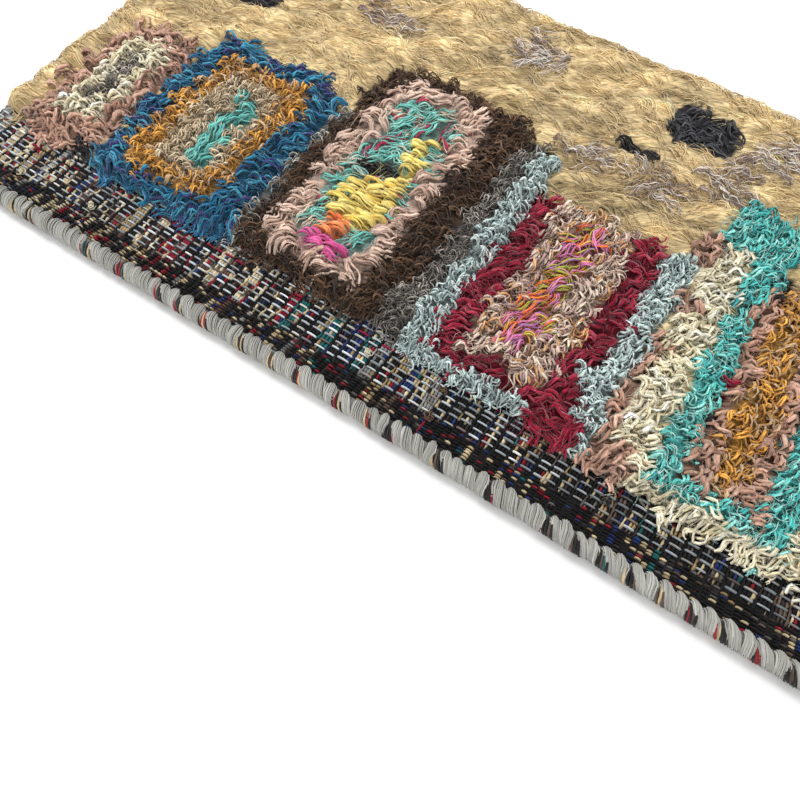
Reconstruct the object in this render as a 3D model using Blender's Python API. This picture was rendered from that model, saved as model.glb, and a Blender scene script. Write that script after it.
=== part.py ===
"""Cut length of a knotted shag rug that keeps its bound side edge.

The rug lies flat. X runs along the bound edge, Y from that edge into the
pile, Z up from the surface that the rug rests on. Units are metres, and the
driving sizes below are in millimetres because that is how cloth is measured.
"""

import math

import bpy
import numpy as np

MM = 0.001

# Driving sizes, in millimetres.
RUG_LENGTH = 660.0
RUG_DEPTH = 380.0
GROUND_THICKNESS = 3.0
EDGE_INSET = 5.0
CUT_INSET = 5.0
RIB_PITCH = 8.3
RIB_CREST = 0.2
RIB_VALLEY = 0.5
PIECE_GAP = 0.3

ROLL_WIDTH = 13.6
ROLL_HEIGHT = 12.0
WRAP_PITCH = 9.0
WRAP_SLANT = 2.6
WRAP_DIP = 0.16
WEFT_GAP_DIP = 0.26

PILE_HEIGHT = 14.5
PILE_LIFT = GROUND_THICKNESS + RIB_CREST + PIECE_GAP
PILE_COLUMN_PITCH = 7.5
PILE_ROW_PITCH = 11.0
LOCK_REACH = 8.0
LOCK_TIP_THICKNESS = 2.6
CREASE_DEPTH = 4.5
CREASE_HALF_WIDTH = 7.0
LUMP_HEIGHT = 2.0
TUFT_UNEVENNESS = 0.9

# How the ground runs from inside the binding out to the cut side. Columns:
# distance from the bound edge, middle height, share of the rib relief.
GROUND_STATIONS = (
    (EDGE_INSET, 6.0, 0.0),
    (13.0, 6.0, 0.2),
    (20.0, 3.9, 1.0),
    (27.0, 2.0, 1.0),
    (34.0, 1.5, 1.0),
    (62.0, 1.5, 1.0),
    (68.0, 1.5, 0.0),
    (RUG_DEPTH - CUT_INSET, 1.5, 0.0),
)

# Where the pile begins, beside the bare strip. Columns: place along the
# bound edge from the left end, distance from the bound edge.
PILE_FRONT = (
    (0.0, 68.0),
    (75.0, 66.0),
    (110.0, 62.0),
    (220.0, 62.0),
    (235.0, 65.0),
    (345.0, 62.0),
    (372.0, 57.0),
    (492.0, 57.0),
    (508.0, 51.0),
    (560.0, 53.0),
    (660.0, 52.0),
)

# Outlines of the pile's main fields, each a mound with a crease around it.
# Columns: left, right, near side, far side, corner radius.
PILE_FIELDS = (
    (34.0, 96.0, 50.0, 190.0, 20.0),
    (100.0, 222.0, 50.0, 215.0, 26.0),
    (233.0, 350.0, 50.0, 262.0, 22.0),
    (350.0, 494.0, 44.0, 238.0, 20.0),
    (384.0, 480.0, 64.0, 216.0, 14.0),
    (494.0, 545.0, 40.0, 236.0, 14.0),
    (545.0, 612.0, 56.0, 228.0, 16.0),
)

# Places along the bound edge where weft turns part the grey wraps.
WEFT_GAPS = (
    16.0, 40.0, 61.0, 90.0, 105.0, 158.0, 188.0, 221.0, 238.0, 258.0, 287.0,
    311.0, 330.0, 360.0, 381.0, 396.0, 428.0, 462.0, 498.0, 515.0, 531.0, 548.0,
    564.0, 581.0, 598.0, 616.0, 634.0, 648.0,
)

FABRIC_COLORS = {
    "ground_weave": (0.060, 0.052, 0.050),
    "pile": (0.330, 0.250, 0.170),
    "selvedge_binding": (0.230, 0.225, 0.205),
}


def clear_scene():
    """Remove every object that the file opened with."""
    for item in list(bpy.data.objects):
        bpy.data.objects.remove(item, do_unlink=True)


def make_cloth_material(name):
    """Return a matt cloth material in the colour given for the piece."""
    material = bpy.data.materials.new(name)
    material.use_nodes = True
    shader = material.node_tree.nodes["Principled BSDF"]
    shader.inputs["Base Color"].default_value = (*FABRIC_COLORS[name], 1.0)
    shader.inputs["Roughness"].default_value = 0.9
    shader.inputs["Metallic"].default_value = 0.0
    return material


def place(along, across, height):
    """Turn sizes from the rug's left end and bound edge into metres."""
    return (
        (along - RUG_LENGTH / 2) * MM,
        (across - RUG_DEPTH / 2) * MM,
        height * MM,
    )


def add_piece(name, points, faces):
    """Add one closed, smooth-shaded piece under its node's name."""
    mesh = bpy.data.meshes.new(name)
    mesh.from_pydata([place(*point) for point in points], [], faces)
    mesh.validate()
    mesh.materials.append(make_cloth_material(name))
    mesh.polygons.foreach_set("use_smooth", [True] * len(mesh.polygons))
    piece = bpy.data.objects.new(name, mesh)
    bpy.context.scene.collection.objects.link(piece)
    return piece


def build_ground_weave():
    """Build the woven sheet, ribbed along its bare strip beside the edge."""
    length = RUG_LENGTH - 2 * CUT_INSET
    columns = 2 * round(length / RIB_PITCH) + 1
    alongs = np.linspace(CUT_INSET, RUG_LENGTH - CUT_INSET, columns)
    points = []
    for across, middle, rib_share in GROUND_STATIONS:
        for index, along in enumerate(alongs):
            relief = RIB_CREST if index % 2 else -RIB_VALLEY
            top = middle + GROUND_THICKNESS / 2 + rib_share * relief
            points.append((along, across, top))
    rows = len(GROUND_STATIONS)
    last = columns - 1
    faces = []
    for row in range(rows - 2):
        for column in range(last):
            near = row * columns + column
            faces.append((near, near + 1, near + 1 + columns, near + columns))
    base = len(points)
    for across, middle, _ in GROUND_STATIONS:
        bottom = middle - GROUND_THICKNESS / 2
        points.append((alongs[0], across, bottom))
        points.append((alongs[-1], across, bottom))
    for row in range(rows - 1):
        low = base + 2 * row
        faces.append((low, low + 2, low + 3, low + 1))
    plain = (rows - 2) * columns
    far = (rows - 1) * columns
    under_far = base + 2 * (rows - 1)
    faces.append(tuple(range(plain, plain + columns)) + (far + last, far))
    faces.append((base, base + 1) + tuple(range(last, -1, -1)))
    faces.append((under_far + 1, under_far, far, far + last))
    left_top = [row * columns for row in range(rows)]
    left_under = [base + 2 * row for row in range(rows)]
    faces.append(tuple(left_top) + tuple(reversed(left_under)))
    right_top = [row * columns + last for row in range(rows)]
    right_under = [base + 2 * row + 1 for row in range(rows)]
    faces.append(tuple(right_under) + tuple(reversed(right_top)))
    used = sorted({corner for face in faces for corner in face})
    renumber = {old: new for new, old in enumerate(used)}
    points = [points[old] for old in used]
    faces = [tuple(renumber[corner] for corner in face) for face in faces]
    return add_piece("ground_weave", points, faces)


def wrap_rings():
    """List the binding's rings: place along the edge and relative size."""
    rings = []
    generator = np.random.default_rng(11)
    count = round((RUG_LENGTH - 2 * CUT_INSET) / WRAP_PITCH)
    pitch = (RUG_LENGTH - 2 * CUT_INSET) / count
    for index in range(count):
        start = CUT_INSET + index * pitch
        near_gap = min(abs(start - gap) for gap in WEFT_GAPS) < pitch / 2
        dip = WEFT_GAP_DIP if near_gap else WRAP_DIP
        size = 1.0 - generator.uniform(0.0, 0.07)
        rings.append((start, 1.0 - dip))
        rings.append((start + 0.28 * pitch, size))
        rings.append((start + 0.72 * pitch, size))
    rings.append((RUG_LENGTH - CUT_INSET, 1.0 - WRAP_DIP))
    return rings


def build_selvedge_binding():
    """Build the overcast roll, with a slot that grips the ground's edge."""
    half_width = ROLL_WIDTH / 2
    half_height = ROLL_HEIGHT / 2
    grip = GROUND_THICKNESS / 2 + PIECE_GAP
    slot_end = EDGE_INSET - PIECE_GAP
    middle = GROUND_STATIONS[0][1]
    lip = math.degrees(math.asin(grip / half_height))
    angles = np.radians(np.linspace(lip, 360.0 - lip, 9))
    points = []
    rings = wrap_rings()
    for along, size in rings:
        for index, angle in enumerate(angles):
            is_lip = index in (0, len(angles) - 1)
            rise = half_height * math.sin(angle) * (1.0 if is_lip else size)
            across = half_width + half_width * math.cos(angle) * size
            slant = WRAP_SLANT * rise / half_height
            points.append((along + slant, across, middle + rise))
        points.append((along - WRAP_SLANT * grip / half_height, slot_end, middle - grip))
        points.append((along + WRAP_SLANT * grip / half_height, slot_end, middle + grip))
    around = len(angles) + 2
    faces = []
    for ring in range(len(rings) - 1):
        for index in range(around):
            here = ring * around + index
            after = ring * around + (index + 1) % around
            faces.append((here, after, after + around, here + around))
    faces.append(tuple(range(around - 1, -1, -1)))
    end = (len(rings) - 1) * around
    faces.append(tuple(range(end, end + around)))
    return add_piece("selvedge_binding", points, faces)


def field_edge_distance(along, across, field):
    """Distance from a point to the rounded outline of one pile field."""
    left, right, near, far, radius = field
    reach_x = abs(along - (left + right) / 2) - (right - left) / 2 + radius
    reach_y = abs(across - (near + far) / 2) - (far - near) / 2 + radius
    outside = math.hypot(max(reach_x, 0.0), max(reach_y, 0.0))
    return abs(outside + min(max(reach_x, reach_y), 0.0) - radius)


def pile_top(along, across):
    """Height of the pile over the rug: mounds, creases and soft lumps."""
    nearest = min(field_edge_distance(along, across, field) for field in PILE_FIELDS)
    crease = CREASE_DEPTH * math.exp(-((nearest / CREASE_HALF_WIDTH) ** 2))
    lump = math.sin(along / 13.0 + 1.3 * math.sin(across / 21.0))
    lump += math.sin(across / 11.0 + 1.7 * math.sin(along / 17.0))
    return PILE_LIFT + PILE_HEIGHT - crease + 0.5 * LUMP_HEIGHT * lump


def rim_steps(length, pitch, shoulder):
    """Spread grid places over a length, with a closer one beside each end."""
    count = 2 * round((length - 2 * shoulder) / pitch / 2)
    inner = np.linspace(shoulder, length - shoulder, count - 1)
    return [0.0, *inner, length]


def build_pile():
    """Build the shag as one lumpy slab whose rim breaks up into locks."""
    generator = np.random.default_rng(4)
    shoulder = 5.0
    alongs = rim_steps(RUG_LENGTH - 2 * LOCK_REACH, PILE_COLUMN_PITCH, shoulder)
    depths = rim_steps(1.0, PILE_ROW_PITCH / 315.0, shoulder / 315.0)
    front_places, front_edges = zip(*PILE_FRONT)
    columns = len(alongs)
    rows = len(depths)
    tops = []
    for row, depth in enumerate(depths):
        for column, step in enumerate(alongs):
            along = step + LOCK_REACH
            front = float(np.interp(along, front_places, front_edges))
            back = RUG_DEPTH - LOCK_REACH
            across = front + depth * (back - front)
            height = pile_top(along, across)
            height += generator.uniform(-TUFT_UNEVENNESS, TUFT_UNEVENNESS)
            reach = LOCK_REACH * generator.uniform(0.55, 1.0)
            is_side = column in (0, columns - 1)
            is_end = row in (0, rows - 1)
            if is_side or is_end:
                is_tip = (row if is_side else column) % 2 == 1
                height = PILE_LIFT + (LOCK_TIP_THICKNESS if is_tip else 0.55 * PILE_HEIGHT)
                out_x = 0.0 if not is_side else (-reach if column == 0 else reach)
                out_y = 0.0 if not is_end else (-reach if row == 0 else reach)
                along += out_x if is_tip else 0.0
                across += out_y if is_tip else 0.0
            tops.append((along, across, height))
    rim = list(range(columns))
    rim += [row * columns + columns - 1 for row in range(1, rows)]
    rim += [(rows - 1) * columns + column for column in range(columns - 2, -1, -1)]
    rim += [row * columns for row in range(rows - 2, 0, -1)]
    points = list(tops)
    under = len(points)
    for corner in rim:
        along, across, _ = tops[corner]
        points.append((along, across, PILE_LIFT))
    faces = []
    for row in range(rows - 1):
        for column in range(columns - 1):
            here = row * columns + column
            faces.append((here, here + 1, here + 1 + columns, here + columns))
    for index, corner in enumerate(rim):
        following = (index + 1) % len(rim)
        faces.append((under + index, under + following, rim[following], corner))
    faces.append(tuple(under + index for index in range(len(rim) - 1, -1, -1)))
    return add_piece("pile", points, faces)


def main():
    """Build the three pieces of the rug."""
    clear_scene()
    build_ground_weave()
    build_selvedge_binding()
    build_pile()


main()
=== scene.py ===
"""Looks of a cut length of knotted shag rug that keeps its bound side edge.

Places and sizes in the tables are in millimetres, as a maker would chart
them: along the bound edge from the rug's left end, and across from that edge
into the pile. Heights are above the surface that the rug lies on.
"""

import logging
import math
from dataclasses import dataclass, replace
from enum import Enum

import bpy
import numpy as np
from mathutils import Matrix, Vector
from mathutils.bvhtree import BVHTree


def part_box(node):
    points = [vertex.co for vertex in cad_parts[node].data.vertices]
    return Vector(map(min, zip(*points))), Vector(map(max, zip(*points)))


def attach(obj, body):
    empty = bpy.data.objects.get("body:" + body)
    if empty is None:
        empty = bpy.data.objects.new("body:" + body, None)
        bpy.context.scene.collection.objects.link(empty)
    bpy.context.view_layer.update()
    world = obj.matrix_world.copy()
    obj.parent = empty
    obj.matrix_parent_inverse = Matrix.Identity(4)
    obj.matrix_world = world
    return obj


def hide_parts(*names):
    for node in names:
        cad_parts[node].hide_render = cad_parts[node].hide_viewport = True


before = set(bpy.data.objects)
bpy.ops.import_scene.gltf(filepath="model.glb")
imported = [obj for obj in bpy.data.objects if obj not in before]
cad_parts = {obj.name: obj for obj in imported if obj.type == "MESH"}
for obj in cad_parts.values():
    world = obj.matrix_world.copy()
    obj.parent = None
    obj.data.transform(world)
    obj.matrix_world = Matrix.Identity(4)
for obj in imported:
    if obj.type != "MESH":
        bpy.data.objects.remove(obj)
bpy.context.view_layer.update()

MM = 0.001
BODY = "root"
STRAND_SIDES = 3
LOG = logging.getLogger("rug")

# Fibre noise is stretched along a strand, and its third axis tells strands apart.
FIBRE_STRETCH = (1.0, 0.11, 23.0)
FIBRE_RELIEF = 0.0006

Color = tuple[int, int, int]
Tones = tuple[tuple[float, Color], ...]


class Band(Enum):
    """Yarns of the pile, each a field or band of the chart."""

    WOOL = "wool"
    ASH = "ash"
    SLATE = "slate"
    BLUE = "blue"
    GOLD = "gold"
    SAND = "sand"
    AQUA = "aqua"
    SILVER = "silver"
    BROWN = "brown"
    BLUSH = "blush"
    FLECK = "fleck"
    LEMON = "lemon"
    ORANGE = "orange"
    PINK = "pink"
    CHARCOAL = "charcoal"
    MIST = "mist"
    CRIMSON = "crimson"
    MAUVE = "mauve"
    MOTLEY = "motley"
    ROSE = "rose"
    CREAM = "cream"
    TURQUOISE = "turquoise"
    BLACK = "black"


BAND_NUMBERS = {band: number for number, band in enumerate(Band)}


@dataclass(frozen=True)
class Patch:
    """A rounded rectangle of one yarn in the chart.

    Columns: left, right, near side, far side, corner radius.
    """

    band: Band
    left: float
    right: float
    near: float
    far: float
    radius: float = 4.0

    def holds(self, along: np.ndarray, across: np.ndarray) -> np.ndarray:
        """Tell which places lie inside the patch.

        Args:
            along: places along the bound edge.
            across: distances from the bound edge.

        Returns:
            A mask, true inside.
        """
        reach_x = np.abs(along - (self.left + self.right) / 2)
        reach_y = np.abs(across - (self.near + self.far) / 2)
        reach_x = reach_x - (self.right - self.left) / 2 + self.radius
        reach_y = reach_y - (self.far - self.near) / 2 + self.radius
        outside = np.hypot(np.maximum(reach_x, 0.0), np.maximum(reach_y, 0.0))
        inside = np.minimum(np.maximum(reach_x, reach_y), 0.0)
        return outside + inside <= self.radius


# The chart, painted in this order: nested fields of banded yarn that open
# towards a wide wool field.
CHART = (
    Patch(Band.ROSE, 34, 98, 40, 190, 18),
    Patch(Band.CREAM, 48, 84, 84, 176, 12),
    Patch(Band.CHARCOAL, 58, 74, 100, 160, 6),
    Patch(Band.BLACK, 78, 96, 40, 76, 5),
    Patch(Band.BLUE, 100, 222, 40, 215, 26),
    Patch(Band.GOLD, 120, 202, 73, 197, 18),
    Patch(Band.SAND, 135, 188, 86, 183, 14),
    Patch(Band.AQUA, 159, 176, 94, 165, 7),
    Patch(Band.SILVER, 222, 232, 40, 200, 4),
    Patch(Band.BROWN, 229, 353, 40, 262, 20),
    Patch(Band.BLUSH, 245, 325, 71, 248, 16),
    Patch(Band.FLECK, 259, 311, 88, 232, 14),
    Patch(Band.LEMON, 271, 307, 108, 152, 12),
    Patch(Band.ORANGE, 277, 294, 91, 112, 6),
    Patch(Band.PINK, 274, 299, 82, 93, 5),
    Patch(Band.LEMON, 293, 304, 150, 205, 5),
    Patch(Band.BLACK, 269, 296, 156, 168, 4),
    Patch(Band.CHARCOAL, 351, 374, 40, 246, 8),
    Patch(Band.CHARCOAL, 345, 374, 40, 100, 8),
    Patch(Band.MIST, 367, 386, 40, 236, 8),
    Patch(Band.MIST, 367, 497, 40, 228, 16),
    Patch(Band.CRIMSON, 381, 478, 61, 216, 12),
    Patch(Band.CRIMSON, 454, 485, 40, 70, 5),
    Patch(Band.MAUVE, 402, 457, 74, 218, 8),
    Patch(Band.MAUVE, 397, 410, 74, 104, 6),
    Patch(Band.MOTLEY, 417, 439, 88, 196, 8),
    Patch(Band.WOOL, 383, 489, 206, 262, 14),
    Patch(Band.MIST, 468, 490, 88, 108, 6),
    Patch(Band.CREAM, 501, 524, 40, 236, 6),
    Patch(Band.ROSE, 495, 503, 40, 148, 4),
    Patch(Band.ROSE, 496, 508, 166, 186, 4),
    Patch(Band.ROSE, 489, 507, 212, 242, 7),
    Patch(Band.TURQUOISE, 527, 547, 50, 262, 8),
    Patch(Band.TURQUOISE, 500, 551, 236, 272, 12),
    Patch(Band.ROSE, 543, 589, 56, 226, 12),
    Patch(Band.GOLD, 555, 577, 72, 230, 9),
    Patch(Band.TURQUOISE, 588, 609, 50, 240, 8),
    Patch(Band.CREAM, 609, 626, 40, 214, 6),
    Patch(Band.ROSE, 626, 660, 40, 220, 6),
    Patch(Band.TURQUOISE, 545, 610, 54, 68, 5),
    Patch(Band.CREAM, 508, 640, 40, 56, 4),
    Patch(Band.ROSE, 496, 518, 40, 68, 4),
    Patch(Band.BLACK, 545, 553, 208, 232, 3),
    Patch(Band.CRIMSON, 538, 549, 128, 142, 4),
    Patch(Band.BLACK, 539, 547, 104, 118, 3),
    Patch(Band.ASH, 374, 466, 247, 262, 7),
    Patch(Band.ASH, 470, 507, 266, 280, 7),
    Patch(Band.ASH, 473, 506, 286, 302, 7),
    Patch(Band.ASH, 499, 526, 302, 344, 9),
    Patch(Band.SLATE, 429, 479, 302, 338, 9),
    Patch(Band.BLACK, 411, 437, 273, 282, 4),
    Patch(Band.ASH, 166, 228, 288, 308, 10),
    Patch(Band.SLATE, 60, 112, 250, 292, 12),
    Patch(Band.ASH, 298, 338, 308, 346, 12),
    Patch(Band.SLATE, 570, 618, 290, 330, 12),
)

# Where weft turns part the grey wraps of the bound edge: place, width.
WEFT_GAPS = (
    (16.0, 4.0), (40.0, 5.0), (61.0, 4.0), (90.0, 5.0), (105.0, 8.0), (158.0, 8.0),
    (188.0, 8.5), (221.0, 4.0), (238.0, 5.5), (258.0, 4.5), (287.0, 4.5), (311.0, 3.0),
    (330.0, 4.0), (360.0, 5.0), (381.0, 3.0), (396.0, 6.0), (428.0, 8.0), (462.0, 5.0),
    (498.0, 6.0), (515.0, 4.5), (531.0, 5.0), (548.0, 7.0), (564.0, 5.0), (581.0, 4.0),
    (598.0, 6.0), (616.0, 4.0), (634.0, 5.0), (648.0, 4.0),
)
GAP_PLACES = np.array([place for place, _ in WEFT_GAPS])
GAP_WIDTHS = np.array([width for _, width in WEFT_GAPS])

# Hollows in the wool, where its tint is darkened as painted shade: along, across, reach, depth.
WOOL_HOLLOWS = (
    (412.0, 226.0, 34.0, 0.3), (446.0, 236.0, 26.0, 0.2), (378.0, 262.0, 30.0, 0.22),
    (300.0, 300.0, 40.0, 0.14), (480.0, 246.0, 18.0, 0.22), (120.0, 300.0, 45.0, 0.14),
)


@dataclass(frozen=True)
class YarnFinish:
    """Surface of a yarn: how it takes light, how blotchy and how fibrous it is.

    lines is how many fibres show round a strand, and streak is how strongly
    they differ in colour.
    """

    roughness: float = 0.85
    sheen: float = 0.2
    specular: float = 0.25
    mottle: float = 0.25
    mottle_scale: float = 420.0
    fibre_scale: float = 1500.0
    fibre_depth: float = 0.5
    lines: float = 1.1
    streak: float = 0.36


MATT_WOOL = YarnFinish()
SOFT_WOOL = YarnFinish(
    roughness=0.95, sheen=0.35, specular=0.06, mottle=0.14, lines=2.4, streak=0.34
)
THICK_WOOL = YarnFinish(
    roughness=0.9, sheen=0.3, specular=0.1, mottle=0.2, lines=1.9, streak=0.4
)
SLEEK_YARN = YarnFinish(roughness=0.55, specular=0.42, mottle=0.16, streak=0.3)
COTTON = YarnFinish(roughness=0.8, specular=0.25, mottle=0.14, streak=0.3)
WOOL_BED = YarnFinish(
    roughness=0.95, specular=0.08, mottle=0.4, mottle_scale=170.0, fibre_depth=1.0, lines=0.9,
    streak=0.6,
)
YARN_BED = YarnFinish(
    roughness=0.95, specular=0.08, mottle=0.75, mottle_scale=330.0, fibre_depth=1.0, lines=0.8,
    streak=0.5,
)
GROUND_YARN = YarnFinish(roughness=0.8, sheen=0.04, specular=0.15, mottle=0.3, streak=0.3)
WRAP_YARN = YarnFinish(mottle=0.12, streak=0.2)


@dataclass(frozen=True)
class Yarn:
    """One yarn of the pile and how its locks lie.

    Sizes are in millimetres and angles in degrees. The heading is the way
    that a lock points, turned from the bound edge, and sway is how far it
    wanders. layers is how many times the locks cover their field. loose is 0
    for strands that run side by side and 1 for a tangle. flat is a strand's
    height against its width, twist is its turn at each step, dome is how much
    higher the middle of a lock is, and fluff counts its stray fibres. over
    names a field that shows between thin locks.
    """

    band: Band
    tones: Tones
    finish: YarnFinish = MATT_WOOL
    girth: float = 1.7
    length: float = 24.0
    strands: int = 4
    width: float = 6.9
    layers: float = 1.7
    wave: float = 1.9
    wave_length: float = 12.5
    coil: float = 0.8
    loose: float = 0.25
    heading: float = 25.0
    sway: float = 50.0
    bend: float = 75.0
    steps: int = 11
    taper: float = 0.8
    stack: float = 2.1
    arch: float = 1.6
    dome: float = 2.1
    lift: float = 0.0
    flat: float = 0.75
    twist: float = 20.0
    fluff: int = 2
    # Painted shade and light in the tints: root_shade darkens strands towards their roots,
    # tip_shade lightens their tips, and bed_shade darkens the field between the locks.
    root_shade: float = 0.62
    tip_shade: float = 1.08
    bed_shade: float = 0.68
    over: Band | None = None
    suffix: str = ""


YARNS = (
    Yarn(Band.WOOL, ((0.5, (237, 210, 157)), (0.3, (229, 199, 144)), (0.2, (243, 221, 174))),
         SOFT_WOOL, girth=1.15, flat=0.55, length=30, strands=5, width=9, layers=1.47, wave=1.2,
         wave_length=17, loose=0.35, heading=2, sway=36, bend=60, steps=7, taper=0.2, twist=3,
         stack=0.9, arch=0.8, dome=0.6, root_shade=0.9, tip_shade=1.0, bed_shade=0.93, fluff=1),
    Yarn(Band.ASH, ((0.35, (210, 196, 184)), (0.28, (148, 126, 118)), (0.22, (238, 230, 220)),
         (0.15, (178, 148, 112))),
         girth=1.0, length=26, strands=8, width=8, layers=1.7, wave=1.2, wave_length=12, heading=0,
         sway=30, bend=60, loose=0.45, stack=1.8, dome=0.9, lift=0.4, root_shade=0.84,
         over=Band.WOOL),
    Yarn(Band.SLATE, ((0.5, (60, 60, 64)), (0.3, (82, 82, 88)), (0.2, (40, 40, 44))),
         girth=1.6, length=20, layers=1.5, wave=1.3, loose=0.5, sway=80, steps=8),
    Yarn(Band.BLUE, ((0.4, (30, 108, 146)), (0.22, (20, 76, 112)), (0.26, (66, 156, 186)),
         (0.12, (68, 64, 126))),
         THICK_WOOL, girth=2.1, length=19, layers=1.65, wave=1.15, wave_length=11, loose=0.18,
         sway=50, steps=8),
    Yarn(Band.GOLD, ((0.55, (236, 172, 70)), (0.2, (194, 136, 52)), (0.25, (208, 174, 132))),
         SLEEK_YARN, girth=1.9, length=20, wave=2.2, wave_length=9, coil=1.1, loose=0.3,
         sway=60, steps=13, root_shade=0.72, bed_shade=0.72),
    Yarn(Band.SAND, ((0.6, (224, 203, 170)), (0.3, (198, 173, 140)), (0.1, (238, 222, 197))),
         COTTON, girth=1.6, length=20, wave=2.0, wave_length=8.5, coil=1.0, loose=0.35, sway=70,
         steps=12),
    Yarn(Band.AQUA, ((0.6, (126, 212, 200)), (0.4, (86, 178, 172))),
         SLEEK_YARN, girth=2.0, length=25, wave=1.0, heading=75, sway=20, steps=8),
    Yarn(Band.SILVER, ((0.5, (184, 182, 172)), (0.3, (118, 114, 106)), (0.2, (216, 214, 206))),
         girth=1.3, length=18, wave=1.8, wave_length=8, coil=1.0, sway=70, lift=0.4),
    Yarn(Band.BROWN, ((0.5, (88, 62, 41)), (0.3, (62, 43, 29)), (0.2, (118, 86, 60))),
         girth=1.7, length=18, wave=1.5, wave_length=9, loose=0.35, sway=50, bend=80,
         steps=9, fluff=3),
    Yarn(Band.BLUSH, ((0.6, (234, 205, 186)), (0.4, (208, 175, 156))),
         THICK_WOOL, girth=2.8, length=25, width=8, wave=1.2, wave_length=14, steps=9, lift=0.5,
         loose=0.15, root_shade=0.74, bed_shade=0.78, fluff=3),
    Yarn(Band.FLECK, ((0.5, (120, 202, 190)), (0.2, (164, 220, 208)), (0.12, (190, 52, 90)),
         (0.18, (220, 200, 178))),
         girth=1.6, length=24, strands=5, wave=1.1, wave_length=13, coil=0.6, loose=0.25, sway=50,
         steps=10, root_shade=0.72, bed_shade=0.72),
    Yarn(Band.LEMON, ((0.7, (246, 224, 130)), (0.3, (234, 204, 102))),
         THICK_WOOL, girth=4.2, length=24, strands=3, width=8, layers=2.2, wave=0.7, coil=0.4,
         wave_length=15, loose=0.06, heading=4, sway=16, bend=22, dome=1.6, flat=0.5, twist=4,
         taper=0.3, lift=2.2, steps=9, bed_shade=0.92, root_shade=0.86, fluff=5),
    Yarn(Band.ORANGE, ((0.7, (250, 152, 92)), (0.3, (238, 124, 68))),
         THICK_WOOL, girth=3.6, length=18, strands=3, width=7, layers=2.4, wave=0.6, coil=0.4,
         loose=0.06, heading=6, sway=14, bend=18, flat=0.5, twist=4, taper=0.3, lift=1.6,
         steps=8, root_shade=0.84, fluff=4),
    Yarn(Band.PINK, ((0.7, (242, 110, 176)), (0.3, (222, 84, 152))),
         THICK_WOOL, girth=3.4, length=22, strands=3, width=7, layers=2.4, wave=0.6, coil=0.4,
         loose=0.06, heading=4, sway=12, bend=15, flat=0.5, twist=4, taper=0.3, lift=1.8,
         steps=8, root_shade=0.84, fluff=4),
    Yarn(Band.CHARCOAL, ((0.4, (148, 140, 132)), (0.35, (98, 92, 87)), (0.25, (186, 177, 167))),
         girth=1.05, length=17, strands=5, wave=1.7, wave_length=7.6, coil=1.0, loose=0.45,
         sway=80, steps=12, bend=100, bed_shade=0.46),
    Yarn(Band.MIST, ((0.5, (208, 226, 222)), (0.35, (178, 196, 195)), (0.15, (234, 246, 243))),
         COTTON, girth=1.8, length=13, width=5.8, wave=1.7, wave_length=6.4, coil=1.25, loose=0.3,
         sway=80, steps=13, bend=120, dome=3.2, lift=0.5, bed_shade=0.66, fluff=1),
    Yarn(Band.CRIMSON, ((0.6, (158, 25, 55)), (0.25, (122, 17, 41)), (0.15, (188, 52, 80))),
         THICK_WOOL, girth=2.5, length=24, width=7, wave=1.2, wave_length=12, loose=0.15,
         flat=0.6, sway=38, bend=60, lift=0.4, fluff=4),
    Yarn(Band.MAUVE, ((0.35, (212, 184, 168)), (0.22, (176, 146, 138)), (0.28, (238, 218, 198)),
         (0.15, (224, 172, 118))),
         girth=2.0, length=22, width=6.6, layers=2.1, wave=2.2, wave_length=9.5, coil=1.0,
         sway=45, lift=0.5, steps=12, root_shade=0.74, bed_shade=0.74),
    Yarn(Band.MOTLEY, ((0.36, (230, 136, 186)), (0.22, (246, 120, 38)), (0.2, (192, 194, 70)),
         (0.12, (184, 122, 184)), (0.1, (238, 182, 74))),
         SLEEK_YARN, girth=1.7, length=22, strands=5, wave=1.2, wave_length=15, heading=60,
         sway=40, lift=1.0, steps=9),
    Yarn(Band.ROSE, ((0.6, (205, 163, 141)), (0.3, (180, 138, 118)), (0.1, (222, 184, 162))),
         THICK_WOOL, girth=3.7, length=21, strands=3, width=8, layers=1.85, wave=2.3,
         wave_length=12, coil=0.8, loose=0.2, steps=9, root_shade=0.74, bed_shade=0.72,
         fluff=3),
    Yarn(Band.CREAM, ((0.6, (240, 231, 202)), (0.3, (225, 212, 176)), (0.1, (250, 246, 230))),
         THICK_WOOL, girth=3.0, length=21, strands=3, width=7.5, layers=2.4, wave=1.9,
         wave_length=11, sway=40, steps=9, lift=0.4, root_shade=0.82, bed_shade=0.88),
    Yarn(Band.TURQUOISE, ((0.5, (104, 214, 206)), (0.22, (66, 176, 174)), (0.28, (160, 234, 224))),
         THICK_WOOL, girth=2.1, length=20, width=7, wave=2.0, wave_length=9, coil=1.0,
         loose=0.3, root_shade=0.74, bed_shade=0.78, fluff=2),
    Yarn(Band.TURQUOISE, ((0.5, (206, 234, 228)), (0.5, (166, 220, 212))),
         COTTON, girth=0.7, length=20, strands=2, width=5, layers=1.0, wave=1.3, wave_length=9,
         coil=0.7, lift=1.3, fluff=0, suffix="_thread"),
    Yarn(Band.BLACK, ((0.7, (34, 30, 30)), (0.3, (50, 44, 42))),
         girth=1.8, length=18, wave=1.3, sway=60, steps=9),
)

# Loose bits that stray on to the bare strip: yarn, along, across, length.
STRAYS = (
    (Band.BROWN, 408.0, 44.3, 8.0), (Band.BROWN, 410.0, 24.4, 7.0),
    (Band.CREAM, 590.6, 42.9, 9.0), (Band.CREAM, 607.1, 50.6, 9.0),
    (Band.CREAM, 353.0, 45.4, 6.0), (Band.BROWN, 262.0, 38.0, 5.0),
    (Band.CREAM, 128.0, 36.0, 5.0), (Band.TURQUOISE, 602.0, 45.0, 8.0),
    (Band.CREAM, 62.0, 30.0, 6.0), (Band.BLACK, 520.0, 36.0, 6.0),
)

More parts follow.
